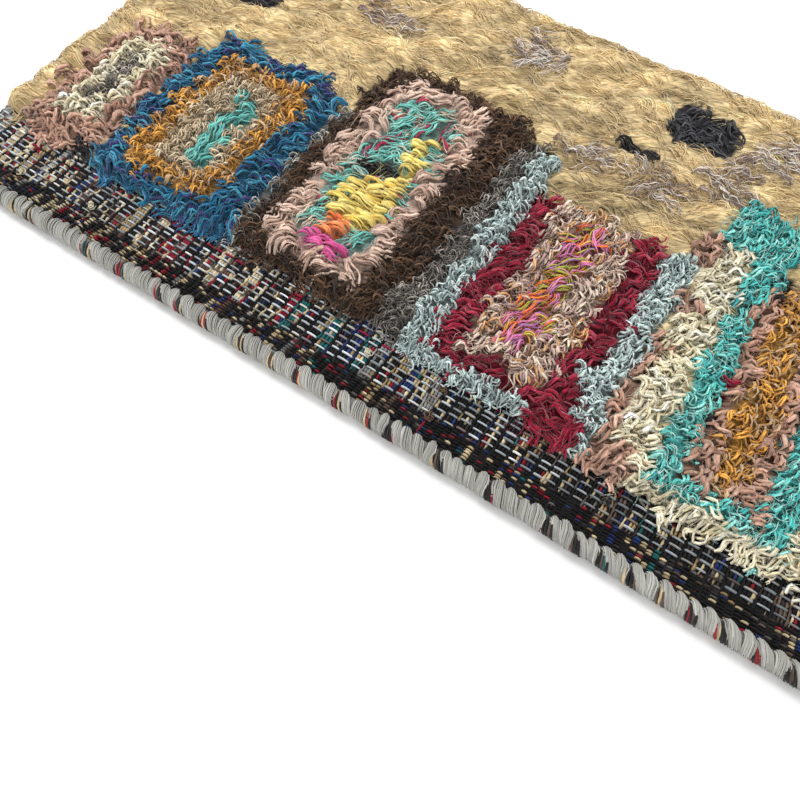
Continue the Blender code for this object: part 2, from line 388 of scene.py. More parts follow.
WARP_TONES: Tones = (
    (0.5, (206, 214, 218)), (0.25, (176, 186, 192)), (0.15, (222, 220, 212)),
    (0.1, (150, 132, 122)),
)
BASE_TONES: Tones = (
    (0.74, (26, 24, 25)), (0.12, (50, 44, 43)), (0.04, (196, 178, 142)),
    (0.03, (132, 28, 44)), (0.03, (38, 50, 92)), (0.04, (92, 88, 86)),
)
LEFT_LEADS: Tones = (
    (0.28, (216, 200, 168)), (0.24, (140, 30, 48)), (0.16, (150, 150, 148)),
    (0.12, (100, 74, 62)), (0.1, (172, 150, 112)), (0.1, (44, 56, 100)),
)
RIGHT_LEADS: Tones = (
    (0.36, (216, 196, 156)), (0.22, (38, 58, 112)), (0.08, (36, 100, 100)),
    (0.12, (172, 146, 104)), (0.1, (146, 30, 44)), (0.12, (100, 84, 74)),
)
MARK_TONES: Tones = (
    (0.6, (146, 26, 60)), (0.25, (30, 27, 28)), (0.15, (186, 178, 164)),
)
TURN_TONES: Tones = (
    (0.5, (30, 27, 28)), (0.18, (206, 184, 144)), (0.14, (150, 34, 44)),
    (0.03, (40, 104, 104)), (0.15, (92, 76, 66)),
)
WRAP_TONES: Tones = (
    (0.6, (176, 175, 168)), (0.25, (158, 157, 150)), (0.15, (194, 193, 186)),
)


def linear(color: Color) -> np.ndarray:
    """Turn a display colour into the linear one that shaders read.

    Args:
        color: red, green and blue from 0 to 255.

    Returns:
        Three linear values from 0 to 1.
    """
    share = np.asarray(color, float) / 255.0
    return np.where(share <= 0.04045, share / 12.92, ((share + 0.055) / 1.055) ** 2.4)


def pick_tones(tones: Tones, count: int, generator: np.random.Generator) -> np.ndarray:
    """Draw a linear colour for each of several yarns.

    Args:
        tones: shares and colours to draw from.
        count: how many to draw.
        generator: seeded source of chance.

    Returns:
        An array of count linear colours, each a little lighter or darker.
    """
    shares = np.array([share for share, _ in tones])
    colors = np.array([linear(color) for _, color in tones])
    drawn = generator.choice(len(tones), size=count, p=shares / shares.sum())
    return colors[drawn] * generator.uniform(0.86, 1.12, (count, 1))


def toward(heading: np.ndarray) -> np.ndarray:
    """Return steps of length one along headings in radians."""
    return np.stack([np.cos(heading), np.sin(heading)], axis=-1)


def soft_noise(along: np.ndarray, across: np.ndarray, size: float, seed: float) -> np.ndarray:
    """Wander smoothly over the rug.

    Args:
        along: places along the bound edge.
        across: distances from the bound edge.
        size: about how far apart the swells are.
        seed: shifts the pattern.

    Returns:
        Values from about -1 to 1.
    """
    x = along / size * 2.1 + seed * 7.3
    y = across / size * 2.1 - seed * 3.9
    first = np.sin(x + 1.7 * np.sin(0.7 * y + seed)) * np.cos(1.1 * y + 1.3 * np.sin(0.8 * x))
    second = np.sin(2.3 * x - 1.9 * y + seed) * 0.45
    return (first + second) / 1.3


@dataclass(frozen=True)
class RugFrame:
    """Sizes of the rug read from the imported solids."""

    origin_x: float
    origin_y: float
    length: float
    depth: float

    @classmethod
    def measured(cls) -> "RugFrame":
        """Read the rug's left end, bound edge and sizes from the frame.

        Returns:
            The rug's frame.
        """
        boxes = [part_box(name) for name in ("ground_weave", "selvedge_binding", "pile")]
        low = [min(box[0][axis] for box in boxes) for axis in range(2)]
        high = [max(box[1][axis] for box in boxes) for axis in range(2)]
        return cls(low[0], low[1], (high[0] - low[0]) / MM, (high[1] - low[1]) / MM)

    def to_metres(self, places: np.ndarray) -> np.ndarray:
        """Turn chart places (along, across, height) into metres in the frame."""
        metres = np.asarray(places, float) * MM
        return metres + np.array([self.origin_x, self.origin_y, 0.0])


class Field:
    """Values on a fine grid over the rug, read between its places."""

    def __init__(self, values: np.ndarray, pitch: float) -> None:
        """Keep the grid, which holds a value for each column and row."""
        self.values = values
        self.pitch = pitch

    def at(self, along: np.ndarray, across: np.ndarray) -> np.ndarray:
        """Read values between grid places.

        Args:
            along: places along the bound edge.
            across: distances from the bound edge.

        Returns:
            The values there.
        """
        columns, rows = self.values.shape
        x = np.clip(along / self.pitch, 0, columns - 1.001)
        y = np.clip(across / self.pitch, 0, rows - 1.001)
        i = x.astype(int)
        j = y.astype(int)
        u = x - i
        v = y - j
        near = self.values[i, j] * (1 - u) + self.values[i + 1, j] * u
        far = self.values[i, j + 1] * (1 - u) + self.values[i + 1, j + 1] * u
        return near * (1 - v) + far * v

    def softened(self, times: int) -> "Field":
        """Blur the grid.

        Args:
            times: how often each value is mixed with its neighbours.

        Returns:
            The blurred field.
        """
        values = self.values
        for _ in range(times):
            edged = np.pad(values, 1, mode="edge")
            sides = edged[:-2, 1:-1] + edged[2:, 1:-1] + edged[1:-1, :-2] + edged[1:-1, 2:]
            values = (edged[1:-1, 1:-1] + sides) / 5.0
        return Field(values, self.pitch)


def relief_of(node: str, rug: RugFrame, pitch: float = 2.0) -> Field:
    """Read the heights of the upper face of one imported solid.

    Args:
        node: name of the CAD node.
        rug: the rug's frame.
        pitch: grid spacing.

    Returns:
        Heights, nought off the solid.
    """
    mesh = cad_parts[node].data
    corners = [vertex.co.copy() for vertex in mesh.vertices]
    tree = BVHTree.FromPolygons(corners, [tuple(face.vertices) for face in mesh.polygons])
    columns = int(rug.length / pitch) + 1
    rows = int(rug.depth / pitch) + 1
    heights = np.zeros((columns, rows))
    down = Vector((0.0, 0.0, -1.0))
    for column in range(columns):
        for row in range(rows):
            place = rug.to_metres(np.array([column * pitch, row * pitch, 100.0]))
            hit, _, _, _ = tree.ray_cast(Vector(place), down)
            heights[column, row] = hit.z / MM if hit else 0.0
    return Field(heights, pitch)


@dataclass
class Guides:
    """Middle lines of yarns that share a number of steps.

    points holds yarn, step and place; girths and tints hold a radius and a
    linear colour for each of those steps.
    """

    points: np.ndarray
    girths: np.ndarray
    tints: np.ndarray


def new_group(
    name: str, sockets: tuple[tuple[str, float], ...], output: str, kind: str
) -> tuple[bpy.types.ShaderNodeTree, bpy.types.Node, bpy.types.Node]:
    """Start a shader group with named number inputs and one output.

    Args:
        name: the group's name.
        sockets: input names and their usual values.
        output: name of the output.
        kind: socket type of the output.

    Returns:
        The group with its input and output nodes.
    """
    tree = bpy.data.node_groups.new(name, "ShaderNodeTree")
    for label, value in sockets:
        socket = tree.interface.new_socket(label, in_out="INPUT", socket_type="NodeSocketFloat")
        socket.default_value = value
    tree.interface.new_socket(output, in_out="OUTPUT", socket_type=kind)
    return tree, tree.nodes.new("NodeGroupInput"), tree.nodes.new("NodeGroupOutput")


def set_inputs(node: bpy.types.Node, values: dict[str, object]) -> None:
    """Set a node's own sockets to constants."""
    for label, value in values.items():
        node.inputs[label].default_value = value


def noise_of(
    tree: bpy.types.ShaderNodeTree,
    place: bpy.types.NodeSocket,
    scale: bpy.types.NodeSocket,
    detail: float,
) -> bpy.types.NodeSocket:
    """Add fine noise to a group.

    Args:
        tree: the group.
        place: where the noise is read.
        scale: its fineness.
        detail: layers of finer noise.

    Returns:
        The noise, from 0 to 1.
    """
    noise = tree.nodes.new("ShaderNodeTexNoise")
    set_inputs(noise, {"Detail": detail})
    tree.links.new(place, noise.inputs["Vector"])
    tree.links.new(scale, noise.inputs["Scale"])
    return noise.outputs["Fac"]


def blend(
    tree: bpy.types.ShaderNodeTree,
    value: bpy.types.NodeSocket,
    weight: bpy.types.NodeSocket | float,
    rest: bpy.types.NodeSocket | float,
) -> bpy.types.NodeSocket:
    """Multiply a value by a weight and add the rest, in a group.

    Args:
        tree: the group.
        value: socket to multiply.
        weight: what it is multiplied by.
        rest: what is added.

    Returns:
        The sum.
    """
    node = tree.nodes.new("ShaderNodeMath")
    node.operation = "MULTIPLY_ADD"
    tree.links.new(value, node.inputs[0])
    for socket, given in ((node.inputs[1], weight), (node.inputs[2], rest)):
        if isinstance(given, float):
            socket.default_value = given
        else:
            tree.links.new(given, socket)
    return node.outputs[0]


def fibre_group() -> bpy.types.ShaderNodeTree:
    """Build the shader group that draws fibres along each strand, once.

    Returns:
        The group.
    """
    name = "fibre_lines"
    if name in bpy.data.node_groups:
        return bpy.data.node_groups[name]
    tree, source, target = new_group(name, (("Lines", 2.5),), "Value", "NodeSocketFloat")
    lie = tree.nodes.new("ShaderNodeAttribute")
    lie.attribute_name = "lie"
    stretch = tree.nodes.new("ShaderNodeMapping")
    set_inputs(stretch, {"Scale": FIBRE_STRETCH})
    tree.links.new(lie.outputs["Vector"], stretch.inputs["Vector"])
    lines = noise_of(tree, stretch.outputs["Vector"], source.outputs["Lines"], 2.0)
    tree.links.new(lines, target.inputs["Value"])
    return tree


def tint_group() -> bpy.types.ShaderNodeTree:
    """Build the shader group that mottles and streaks a yarn's own tint, once.

    Returns:
        The group.
    """
    name = "yarn_mottle"
    if name in bpy.data.node_groups:
        return bpy.data.node_groups[name]
    sockets = (("Amount", 0.2), ("Scale", 400.0), ("Fibres", 0.5), ("Streak", 0.5))
    tree, source, target = new_group(name, sockets, "Color", "NodeSocketColor")
    tree.interface.new_socket("Tint", in_out="INPUT", socket_type="NodeSocketColor")
    place = tree.nodes.new("ShaderNodeTexCoord")
    noise = noise_of(tree, place.outputs["Object"], source.outputs["Scale"], 3.0)
    blotch = blend(tree, blend(tree, noise, 2.0, -1.0), source.outputs["Amount"], 1.0)
    line = blend(tree, source.outputs["Fibres"], 5.0, -2.5)
    factor = blend(tree, line, source.outputs["Streak"], blotch)
    scale = tree.nodes.new("ShaderNodeVectorMath")
    scale.operation = "SCALE"
    tree.links.new(source.outputs["Tint"], scale.inputs[0])
    tree.links.new(factor, scale.inputs["Scale"])
    tree.links.new(scale.outputs[0], target.inputs["Color"])
    return tree


def relief_group() -> bpy.types.ShaderNodeTree:
    """Build the shader group that raises fine fibres on a yarn, once.

    Returns:
        The group.
    """
    name = "fibre_relief"
    if name in bpy.data.node_groups:
        return bpy.data.node_groups[name]
    sockets = (("Scale", 1500.0), ("Depth", 0.5), ("Fibres", 0.5))
    tree, source, target = new_group(name, sockets, "Normal", "NodeSocketVector")
    place = tree.nodes.new("ShaderNodeTexCoord")
    noise = noise_of(tree, place.outputs["Object"], source.outputs["Scale"], 2.0)
    bump = tree.nodes.new("ShaderNodeBump")
    set_inputs(bump, {"Distance": FIBRE_RELIEF})
    height = blend(tree, noise, 0.5, source.outputs["Fibres"])
    tree.links.new(height, bump.inputs["Height"])
    tree.links.new(source.outputs["Depth"], bump.inputs["Strength"])
    tree.links.new(bump.outputs["Normal"], target.inputs["Normal"])
    return tree


def yarn_material(name: str, finish: YarnFinish) -> bpy.types.Material:
    """Make a spun yarn's material, coloured by the piece's own tint.

    Args:
        name: the material's name.
        finish: how the yarn is spun and how it takes light.

    Returns:
        The new material.
    """
    material = bpy.data.materials.new(name)
    material.use_nodes = True
    nodes, links = material.node_tree.nodes, material.node_tree.links
    shader = nodes["Principled BSDF"]
    set_inputs(shader, {
        "Roughness": finish.roughness, "Specular IOR Level": finish.specular,
        "Sheen Weight": finish.sheen, "Sheen Roughness": 0.5,
    })
    tint = nodes.new("ShaderNodeAttribute")
    tint.attribute_name = "tint"
    fibres = nodes.new("ShaderNodeGroup")
    fibres.node_tree = fibre_group()
    set_inputs(fibres, {"Lines": finish.lines})
    mottle = nodes.new("ShaderNodeGroup")
    mottle.node_tree = tint_group()
    set_inputs(mottle, {
        "Amount": finish.mottle, "Scale": finish.mottle_scale, "Streak": finish.streak,
    })
    links.new(fibres.outputs["Value"], mottle.inputs["Fibres"])
    links.new(tint.outputs["Color"], mottle.inputs["Tint"])
    links.new(mottle.outputs["Color"], shader.inputs["Base Color"])
    relief = nodes.new("ShaderNodeGroup")
    relief.node_tree = relief_group()
    set_inputs(relief, {"Scale": finish.fibre_scale, "Depth": finish.fibre_depth})
    links.new(fibres.outputs["Value"], relief.inputs["Fibres"])
    links.new(relief.outputs["Normal"], shader.inputs["Normal"])
    return material


# Nodes of the tree that spins yarn: name, type, settings, constants.
SPIN_NODES = (
    ("source", "NodeGroupInput", {}, {}),
    ("target", "NodeGroupOutput", {}, {}),
    ("curve", "GeometryNodeMeshToCurve", {}, {}),
    ("level", "GeometryNodeSetCurveNormal", {"mode": "Z_UP"}, {}),
    ("turn", "GeometryNodeSetCurveTilt", {}, {}),
    ("number", "GeometryNodeInputIndex", {}, {}),
    ("angle", "ShaderNodeMath", {"operation": "MULTIPLY"}, {}),
    ("profile", "GeometryNodeCurvePrimitiveCircle", {}, {"Radius": 1.0}),
    ("shape", "ShaderNodeCombineXYZ", {}, {"X": 1.0, "Z": 1.0}),
    ("press", "GeometryNodeTransform", {}, {}),
    ("mark", "GeometryNodeStoreNamedAttribute", {}, {"Name": "side"}),
    ("girth", "GeometryNodeInputNamedAttribute", {"data_type": "FLOAT"}, {"Name": "girth"}),
    ("tube", "GeometryNodeCurveToMesh", {}, {"Fill Caps": True}),
    ("side", "GeometryNodeInputNamedAttribute", {"data_type": "FLOAT"}, {"Name": "side"}),
    ("lie", "GeometryNodeInputNamedAttribute", {"data_type": "FLOAT_VECTOR"}, {"Name": "lie"}),
    ("aside", "ShaderNodeCombineXYZ", {}, {}),
    ("whole", "ShaderNodeVectorMath", {}, {}),
    ("store", "GeometryNodeStoreNamedAttribute", {"data_type": "FLOAT_VECTOR"}, {"Name": "lie"}),
    ("smooth", "GeometryNodeSetShadeSmooth", {}, {}),
    ("real", "GeometryNodeRealizeInstances", {}, {}),
    ("dress", "GeometryNodeSetMaterial", {}, {}),
)

# Its links: from which node and socket, to which node and socket.
SPIN_LINKS = (
    ("source", "Guides", "curve", "Mesh"), ("curve", "Curve", "level", "Curve"),
    ("level", "Curve", "turn", "Curve"), ("number", "Index", "angle", 0),
    ("source", "Twist", "angle", 1), ("angle", 0, "turn", "Tilt"),
    ("source", "Sides", "profile", "Resolution"), ("source", "Flatness", "shape", "Y"),
    ("profile", "Curve", "press", "Geometry"), ("shape", "Vector", "press", "Scale"),
    ("press", "Geometry", "mark", "Geometry"), ("number", "Index", "mark", "Value"),
    ("turn", "Curve", "tube", "Curve"), ("mark", "Geometry", "tube", "Profile Curve"),
    ("girth", "Attribute", "tube", "Scale"), ("side", "Attribute", "aside", "X"),
    ("aside", "Vector", "whole", 0), ("lie", "Attribute", "whole", 1),
    ("tube", "Mesh", "store", "Geometry"), ("whole", "Vector", "store", "Value"),
    ("store", "Geometry", "smooth", "Geometry"), ("smooth", "Geometry", "real", "Geometry"),
    ("real", "Geometry", "dress", "Geometry"), ("source", "Finish", "dress", "Material"),
    ("dress", "Geometry", "target", "Yarn"),
)


def yarn_tree() -> bpy.types.GeometryNodeTree:
    """Build the Geometry Nodes tree that spins tubes along guide lines, once.

    Returns:
        The tree, with named inputs.
    """
    name = "spun_yarn"
    if name in bpy.data.node_groups:
        return bpy.data.node_groups[name]
    tree = bpy.data.node_groups.new(name, "GeometryNodeTree")
    face = tree.interface
    face.new_socket("Guides", in_out="INPUT", socket_type="NodeSocketGeometry")
    sides = face.new_socket("Sides", in_out="INPUT", socket_type="NodeSocketInt")
    sides.default_value = STRAND_SIDES
    for label, value in (("Flatness", 0.8), ("Twist", 0.3)):
        socket = face.new_socket(label, in_out="INPUT", socket_type="NodeSocketFloat")
        socket.default_value = value
    face.new_socket("Finish", in_out="INPUT", socket_type="NodeSocketMaterial")
    face.new_socket("Yarn", in_out="OUTPUT", socket_type="NodeSocketGeometry")
    nodes = {}
    for label, kind, settings, constants in SPIN_NODES:
        node = tree.nodes.new(kind)
        for setting, value in settings.items():
            setattr(node, setting, value)
        set_inputs(node, constants)
        nodes[label] = node
    for start, output, end, socket in SPIN_LINKS:
        tree.links.new(nodes[start].outputs[output], nodes[end].inputs[socket])
    return tree


def link_piece(name: str, mesh: bpy.types.Mesh) -> bpy.types.Object:
    """Put a finished mesh in the scene as a piece that rides on the rug.

    Args:
        name: the piece's name.
        mesh: its mesh, in metres in the frame.

    Returns:
        The new object.
    """
    piece = bpy.data.objects.new(name, mesh)
    bpy.context.scene.collection.objects.link(piece)
    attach(piece, BODY)
    LOG.info("%s: %d faces", name, len(mesh.polygons))
    return piece


def lies_of(group: Guides, seed: int) -> np.ndarray:
    """Measure each step's distance along its strand, for the fibres.

    Args:
        group: the guide lines.
        seed: seeds the number that tells strands apart.

    Returns:
        Nought, the distance in millimetres and the strand's own number.
    """
    count, steps, _ = group.points.shape
    strides = np.linalg.norm(np.diff(group.points, axis=1), axis=-1)
    lies = np.zeros((count, steps, 3))
    lies[:, 1:, 1] = np.cumsum(strides, axis=1)
    lies[..., 2] = np.random.default_rng(seed).uniform(0.0, 1.0, (count, 1))
    return lies


def spin_piece(
    name: str,
    guides: list[Guides],
    finish: YarnFinish,
    rug: RugFrame,
    flat: float = 0.85,
    twist: float = 0.0,
) -> bpy.types.Object:
    """Spin tubes along guide lines and keep them as one plain mesh.

    Args:
        name: the piece's name.
        guides: sets of guide lines, in the chart's millimetres.
        finish: the yarn's surface.
        rug: the rug's frame.
        flat: height of a strand against its width.
        twist: turn of a strand at each step, in degrees.

    Returns:
        The finished piece.
    """
    places, girths, tints, lies, edges = [], [], [], [], []
    start = 0
    for number, group in enumerate(guides):
        count, steps, _ = group.points.shape
        places.append(rug.to_metres(group.points.reshape(-1, 3)))
        girths.append(group.girths.reshape(-1) * MM)
        tints.append(group.tints.reshape(-1, 3))
        lies.append(lies_of(group, number).reshape(-1, 3))
        index = start + np.arange(count * steps).reshape(count, steps)
        edges.append(np.stack([index[:, :-1].ravel(), index[:, 1:].ravel()], axis=1))
        start += count * steps
    edge = np.concatenate(edges)
    mesh = tinted_mesh(name + "_guides", np.concatenate(places), [], np.concatenate(tints))
    mesh.edges.add(len(edge))
    mesh.edges.foreach_set("vertices", edge.astype(np.int32).ravel())
    girth = mesh.attributes.new("girth", "FLOAT", "POINT")
    girth.data.foreach_set("value", np.concatenate(girths).astype(np.float32))
    add_lie(mesh, np.concatenate(lies))
    mesh.update()
    lines = bpy.data.objects.new(name + "_lines", mesh)
    bpy.context.scene.collection.objects.link(lines)
    modifier = lines.modifiers.new("spin", "NODES")
    tree = yarn_tree()
    modifier.node_group = tree
    sockets = {item.name: item.identifier for item in tree.interface.items_tree}
    modifier[sockets["Sides"]] = STRAND_SIDES
    modifier[sockets["Flatness"]] = flat
    modifier[sockets["Twist"]] = math.radians(twist)
    modifier[sockets["Finish"]] = yarn_material(name, finish)
    ready = lines.evaluated_get(bpy.context.evaluated_depsgraph_get())
    spun = bpy.data.meshes.new_from_object(ready)
    spun.name = name
    lines.modifiers.remove(modifier)
    bpy.data.objects.remove(lines)
    bpy.data.meshes.remove(mesh)
    for spare in ("girth", "side"):
        if spare in spun.attributes:
            spun.attributes.remove(spun.attributes[spare])
    return link_piece(name, spun)


def add_lie(mesh: bpy.types.Mesh, lies: np.ndarray) -> None:
    """Note across and along which way a mesh's fibres run.

    Args:
        mesh: the mesh.
        lies: for each point, the place across the fibres, along them, and the
            strand's own number.
    """
    lie = mesh.attributes.new("lie", "FLOAT_VECTOR", "POINT")
    lie.data.foreach_set("vector", lies.astype(np.float32).ravel())


def grid_faces(columns: int, rows: int) -> np.ndarray:
    """Number the quads of a grid whose corners run along each row in turn."""
    here = (np.arange(rows - 1)[:, None] * columns + np.arange(columns - 1)).ravel()
    return np.stack([here, here + 1, here + 1 + columns, here + columns], axis=1)


def closed_slab(
    name: str, tops: np.ndarray, unders: np.ndarray, tints: np.ndarray, under_tints: np.ndarray
) -> bpy.types.Mesh:
    """Join two grids of the same size into one closed mesh.

    Args:
        name: the mesh's name.
        tops: rows, columns and place of the upper face, in metres.
        unders: the same for the lower face.
        tints: rows, columns and linear colour of the upper face.
        under_tints: the same for the lower face.

    Returns:
        The closed mesh, with its tint attribute.
    """
    rows, columns, _ = tops.shape
    half = rows * columns
    upper = grid_faces(columns, rows)
    lower = upper[:, ::-1] + half
    walls = []
    for rim in rim_numbers(columns, rows):
        walls.append(np.stack([rim[:-1] + half, rim[1:] + half, rim[1:], rim[:-1]], axis=1))
    faces = np.concatenate([upper, lower, *walls])
    places = np.concatenate([tops.reshape(-1, 3), unders.reshape(-1, 3)])
    colors = np.concatenate([tints.reshape(-1, 3), under_tints.reshape(-1, 3)])
    return tinted_mesh(name, places, faces.tolist(), colors)


def flat_based(
    name: str, tops: np.ndarray, tints: np.ndarray, base: float
) -> bpy.types.Mesh:
    """Close a grid with walls and one flat face below.

    Args:
        name: the mesh's name.
        tops: rows, columns and place of the upper face, in metres.
        tints: rows, columns and linear colour of the upper face.
        base: height of the flat face, in metres.

    Returns:
        The closed mesh, with its tint attribute.
    """
    rows, columns, _ = tops.shape
    half = rows * columns
    loop = np.concatenate([rim[:-1] for rim in rim_numbers(columns, rows)])
    after = np.roll(np.arange(len(loop)), -1)
    walls = np.stack([half + np.arange(len(loop)), half + after, loop[after], loop], axis=1)
    faces = [*grid_faces(columns, rows).tolist(), *walls.tolist()]
    faces.append((half + np.arange(len(loop))[::-1]).tolist())
    foot = tops.reshape(-1, 3)[loop].copy()
    foot[:, 2] = base
    colors = tints.reshape(-1, 3)
    places = np.concatenate([tops.reshape(-1, 3), foot])
    # The foot takes the rim's tint darkened to 0.6: painted shade on the walls towards the base.
    return tinted_mesh(name, places, faces, np.concatenate([colors, colors[loop] * 0.6]))


def rim_numbers(columns: int, rows: int) -> list[np.ndarray]:
    """Number the corners round a grid, in four runs.

    Args:
        columns: corners along the front.
        rows: corners along a side.

    Returns:
        The front, right, back and left runs.
    """
    front = np.arange(columns)
    right = np.arange(rows) * columns + columns - 1
    back = (rows - 1) * columns + np.arange(columns)[::-1]
    left = np.arange(rows)[::-1] * columns
    return [front, right, back, left]


def tinted_mesh(
    name: str, places: np.ndarray, faces: list[list[int]], tints: np.ndarray
) -> bpy.types.Mesh:
    """Make a smooth mesh whose points carry their own colour.

    Args:
        name: the mesh's name.
        places: its points, in metres.
        faces: point numbers of each face.
        tints: a linear colour for each point.

    Returns:
        The mesh.
    """
    mesh = bpy.data.meshes.new(name)
    mesh.from_pydata(places.tolist(), [], faces)
    mesh.polygons.foreach_set("use_smooth", np.ones(len(faces), bool))
    tint = mesh.attributes.new("tint", "FLOAT_COLOR", "POINT")
    color = np.ones((len(places), 4), np.float32)
    color[:, :3] = np.clip(tints, 0.0, 1.0)
    tint.data.foreach_set("color", color.ravel())
    mesh.update()
    return mesh


@dataclass
class ShagPile:
    """The knotted pile: a lumpy bed and locks of yarn over it."""

    rug: RugFrame
    relief: Field
    ground: Field
    rim_inset: float = 8.0
    bed_pitch: float = 2.7
    bed_drop: float = 6.0
    wool_drop: float = 3.8
    base_height: float = 3.4
    fold_back: float = 12.0
    overhang: float = 6.0
    edge_step: float = 22.0
    edge_reach: float = 16.0
    knot_wobble: float = 2.2
    shoulder: float = 9.0
    flat_rim: float = 18.0
    lump_size: float = 9.0
    bare_front: float = 60.0
    bed_over_base: float = 0.4
    grid_jitter: float = 0.3
    lean_out: float = 1.2
    root_margin: float = 3.0
    root_depth: float = 3.0
    root_share: float = 0.2
    behind_middle: float = 0.42
    short_of_edge: float = 0.68
    mixed_share: float = 0.55
    seed: int = 5

    def __post_init__(self) -> None:
        """Measure the pile's front edge and map where the wool lies."""
        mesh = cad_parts["pile"].data
        corners = np.array([vertex.co for vertex in mesh.vertices])
        along = (corners[:, 0] - self.rug.origin_x) / MM
        across = (corners[:, 1] - self.rug.origin_y) / MM
        self.front_places = np.arange(0.0, self.rug.length + 1.0, self.edge_step)
        edges = []
        for place in self.front_places:
            near = np.abs(along - place) < self.edge_reach
            edges.append(across[near].min() + self.rim_inset * 0.5)
        self.front_edges = np.array(edges)
        columns, rows = self.relief.values.shape
        x = np.arange(columns)[:, None] * self.relief.pitch
        y = np.arange(rows)[None, :] * self.relief.pitch
        bands = self.bands_at(x + 0 * y, y + 0 * x)
        is_wool = (bands == BAND_NUMBERS[Band.WOOL]).astype(float)
        self.wool_share = Field(is_wool, self.relief.pitch).softened(6)

    def front(self, along: np.ndarray) -> np.ndarray:
        """Find where the pile begins beside the bare strip.

        Args:
            along: places along the bound edge.

        Returns:
            Distances from the bound edge.
        """
        return np.interp(along, self.front_places, self.front_edges)

    def bands_at(self, along: np.ndarray, across: np.ndarray) -> np.ndarray:
        """Look up the chart, with edges as uneven as hand knotting.

        Args:
            along: places along the bound edge.
            across: distances from the bound edge.

        Returns:
            Numbers of the bands, in the order of Band.
        """
        x = along + self.knot_wobble * soft_noise(along, across, 26.0, 1.0)
        y = across + self.knot_wobble * soft_noise(along, across, 24.0, 2.0)
        found = np.full(along.shape, BAND_NUMBERS[Band.WOOL])
        for patch in CHART:
            found[patch.holds(x, y)] = BAND_NUMBERS[patch.band]
        return found

    def surface(self, along: np.ndarray, across: np.ndarray) -> np.ndarray:
        """Find the height of the bed, or of the ground beside it.

        Args:
            along: places along the bound edge.
            across: distances from the bound edge.

        Returns:
            Heights that the locks lie on.
        """
        inset = self.rim_inset - 1.0
        front = self.front(along) + 3.0
        inner = np.minimum(
            np.minimum(along - inset, self.rug.length - inset - along),
            np.minimum(across - front, self.rug.depth - inset - across),
        )
        shoulder = np.clip(inner / self.shoulder, 0.0, 1.0)
        mid_x = np.clip(along, self.flat_rim, self.rug.length - self.flat_rim)
        mid_y = np.clip(across, front + 12.0, self.rug.depth - self.flat_rim)
        wool = self.wool_share.at(along, across)
        lump = soft_noise(along, across, self.lump_size, 3.0)
        lump = lump + soft_noise(along, across, 5.0, 4.0)
        ridge = self.ridge(along, across)
        drop = self.bed_drop + (self.wool_drop - self.bed_drop) * wool
        raised = (1.2 - 0.75 * wool) * lump + 2.2 * wool * ridge
        top = self.relief.at(mid_x, mid_y) - drop + raised * shoulder
        bed = self.base_height + self.bed_over_base + (top - self.base_height) * np.sqrt(shoulder)
        ground = self.ground.at(along, across)
        return np.where(inner > 0, np.maximum(bed, ground), ground)

    def ridge(self, along: np.ndarray, across: np.ndarray) -> np.ndarray:
        """Swell the wool in soft clumps that run with its lie, parted by creases.

        Args:
            along: places along the bound edge.
            across: distances from the bound edge.

        Returns:
            Values from about -0.8 in a crease to 1.6 on a clump.
        """
        x = along * 0.5 + across * 0.1 + 2.0 * soft_noise(along, across, 50.0, 8.0)
        y = across * 1.2 - along * 0.1 + 4.0 * soft_noise(along, across, 60.0, 9.0)
        wide = 2.2 * np.abs(soft_noise(x, y, 27.0, 6.0)) - 0.7
        small = 2.2 * np.abs(soft_noise(x * 1.1 + 5.0, y, 12.0, 10.0)) - 0.7
        return 0.7 * wide + 0.4 * small

    def hollow(self, along: np.ndarray, across: np.ndarray) -> np.ndarray:
        """Tell how much light the wool loses in its hollows.

        Args:
            along: places along the bound edge.
            across: distances from the bound edge.

        Returns:
            Shares of the wool's tint that are taken away as painted shade.
        """
        lost = 0.04 + 0 * along
        for x, y, reach, depth in WOOL_HOLLOWS:
            lost = lost + depth * np.exp(-(((along - x) ** 2 + (across - y) ** 2) / reach**2))
        return lost

    def build_bed(self) -> bpy.types.Object:
        """Build the dense base of the pile that shows between the locks.

        Returns:
            The bed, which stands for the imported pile.
        """
        inset = self.rim_inset - 1.0
        columns = int((self.rug.length - 2 * inset) / self.bed_pitch)
        alongs = np.linspace(inset, self.rug.length - inset, columns)
        rows = int((self.rug.depth - inset - self.bare_front) / self.bed_pitch)
        share = np.linspace(0.0, 1.0, rows)[:, None]
        front = self.front(alongs)[None, :] + 3.5
        across = front + share * (self.rug.depth - inset - front)
        along = np.broadcast_to(alongs[None, :], across.shape)
        height = np.maximum(self.surface(along, across), self.base_height + self.bed_over_base)
        colors = np.array([self.bed_tone(band) for band in Band])
        tints = colors[self.bands_at(along, across)]
        lump = soft_noise(along, across, self.lump_size, 3.0)
        wool = self.wool_share.at(along, across)
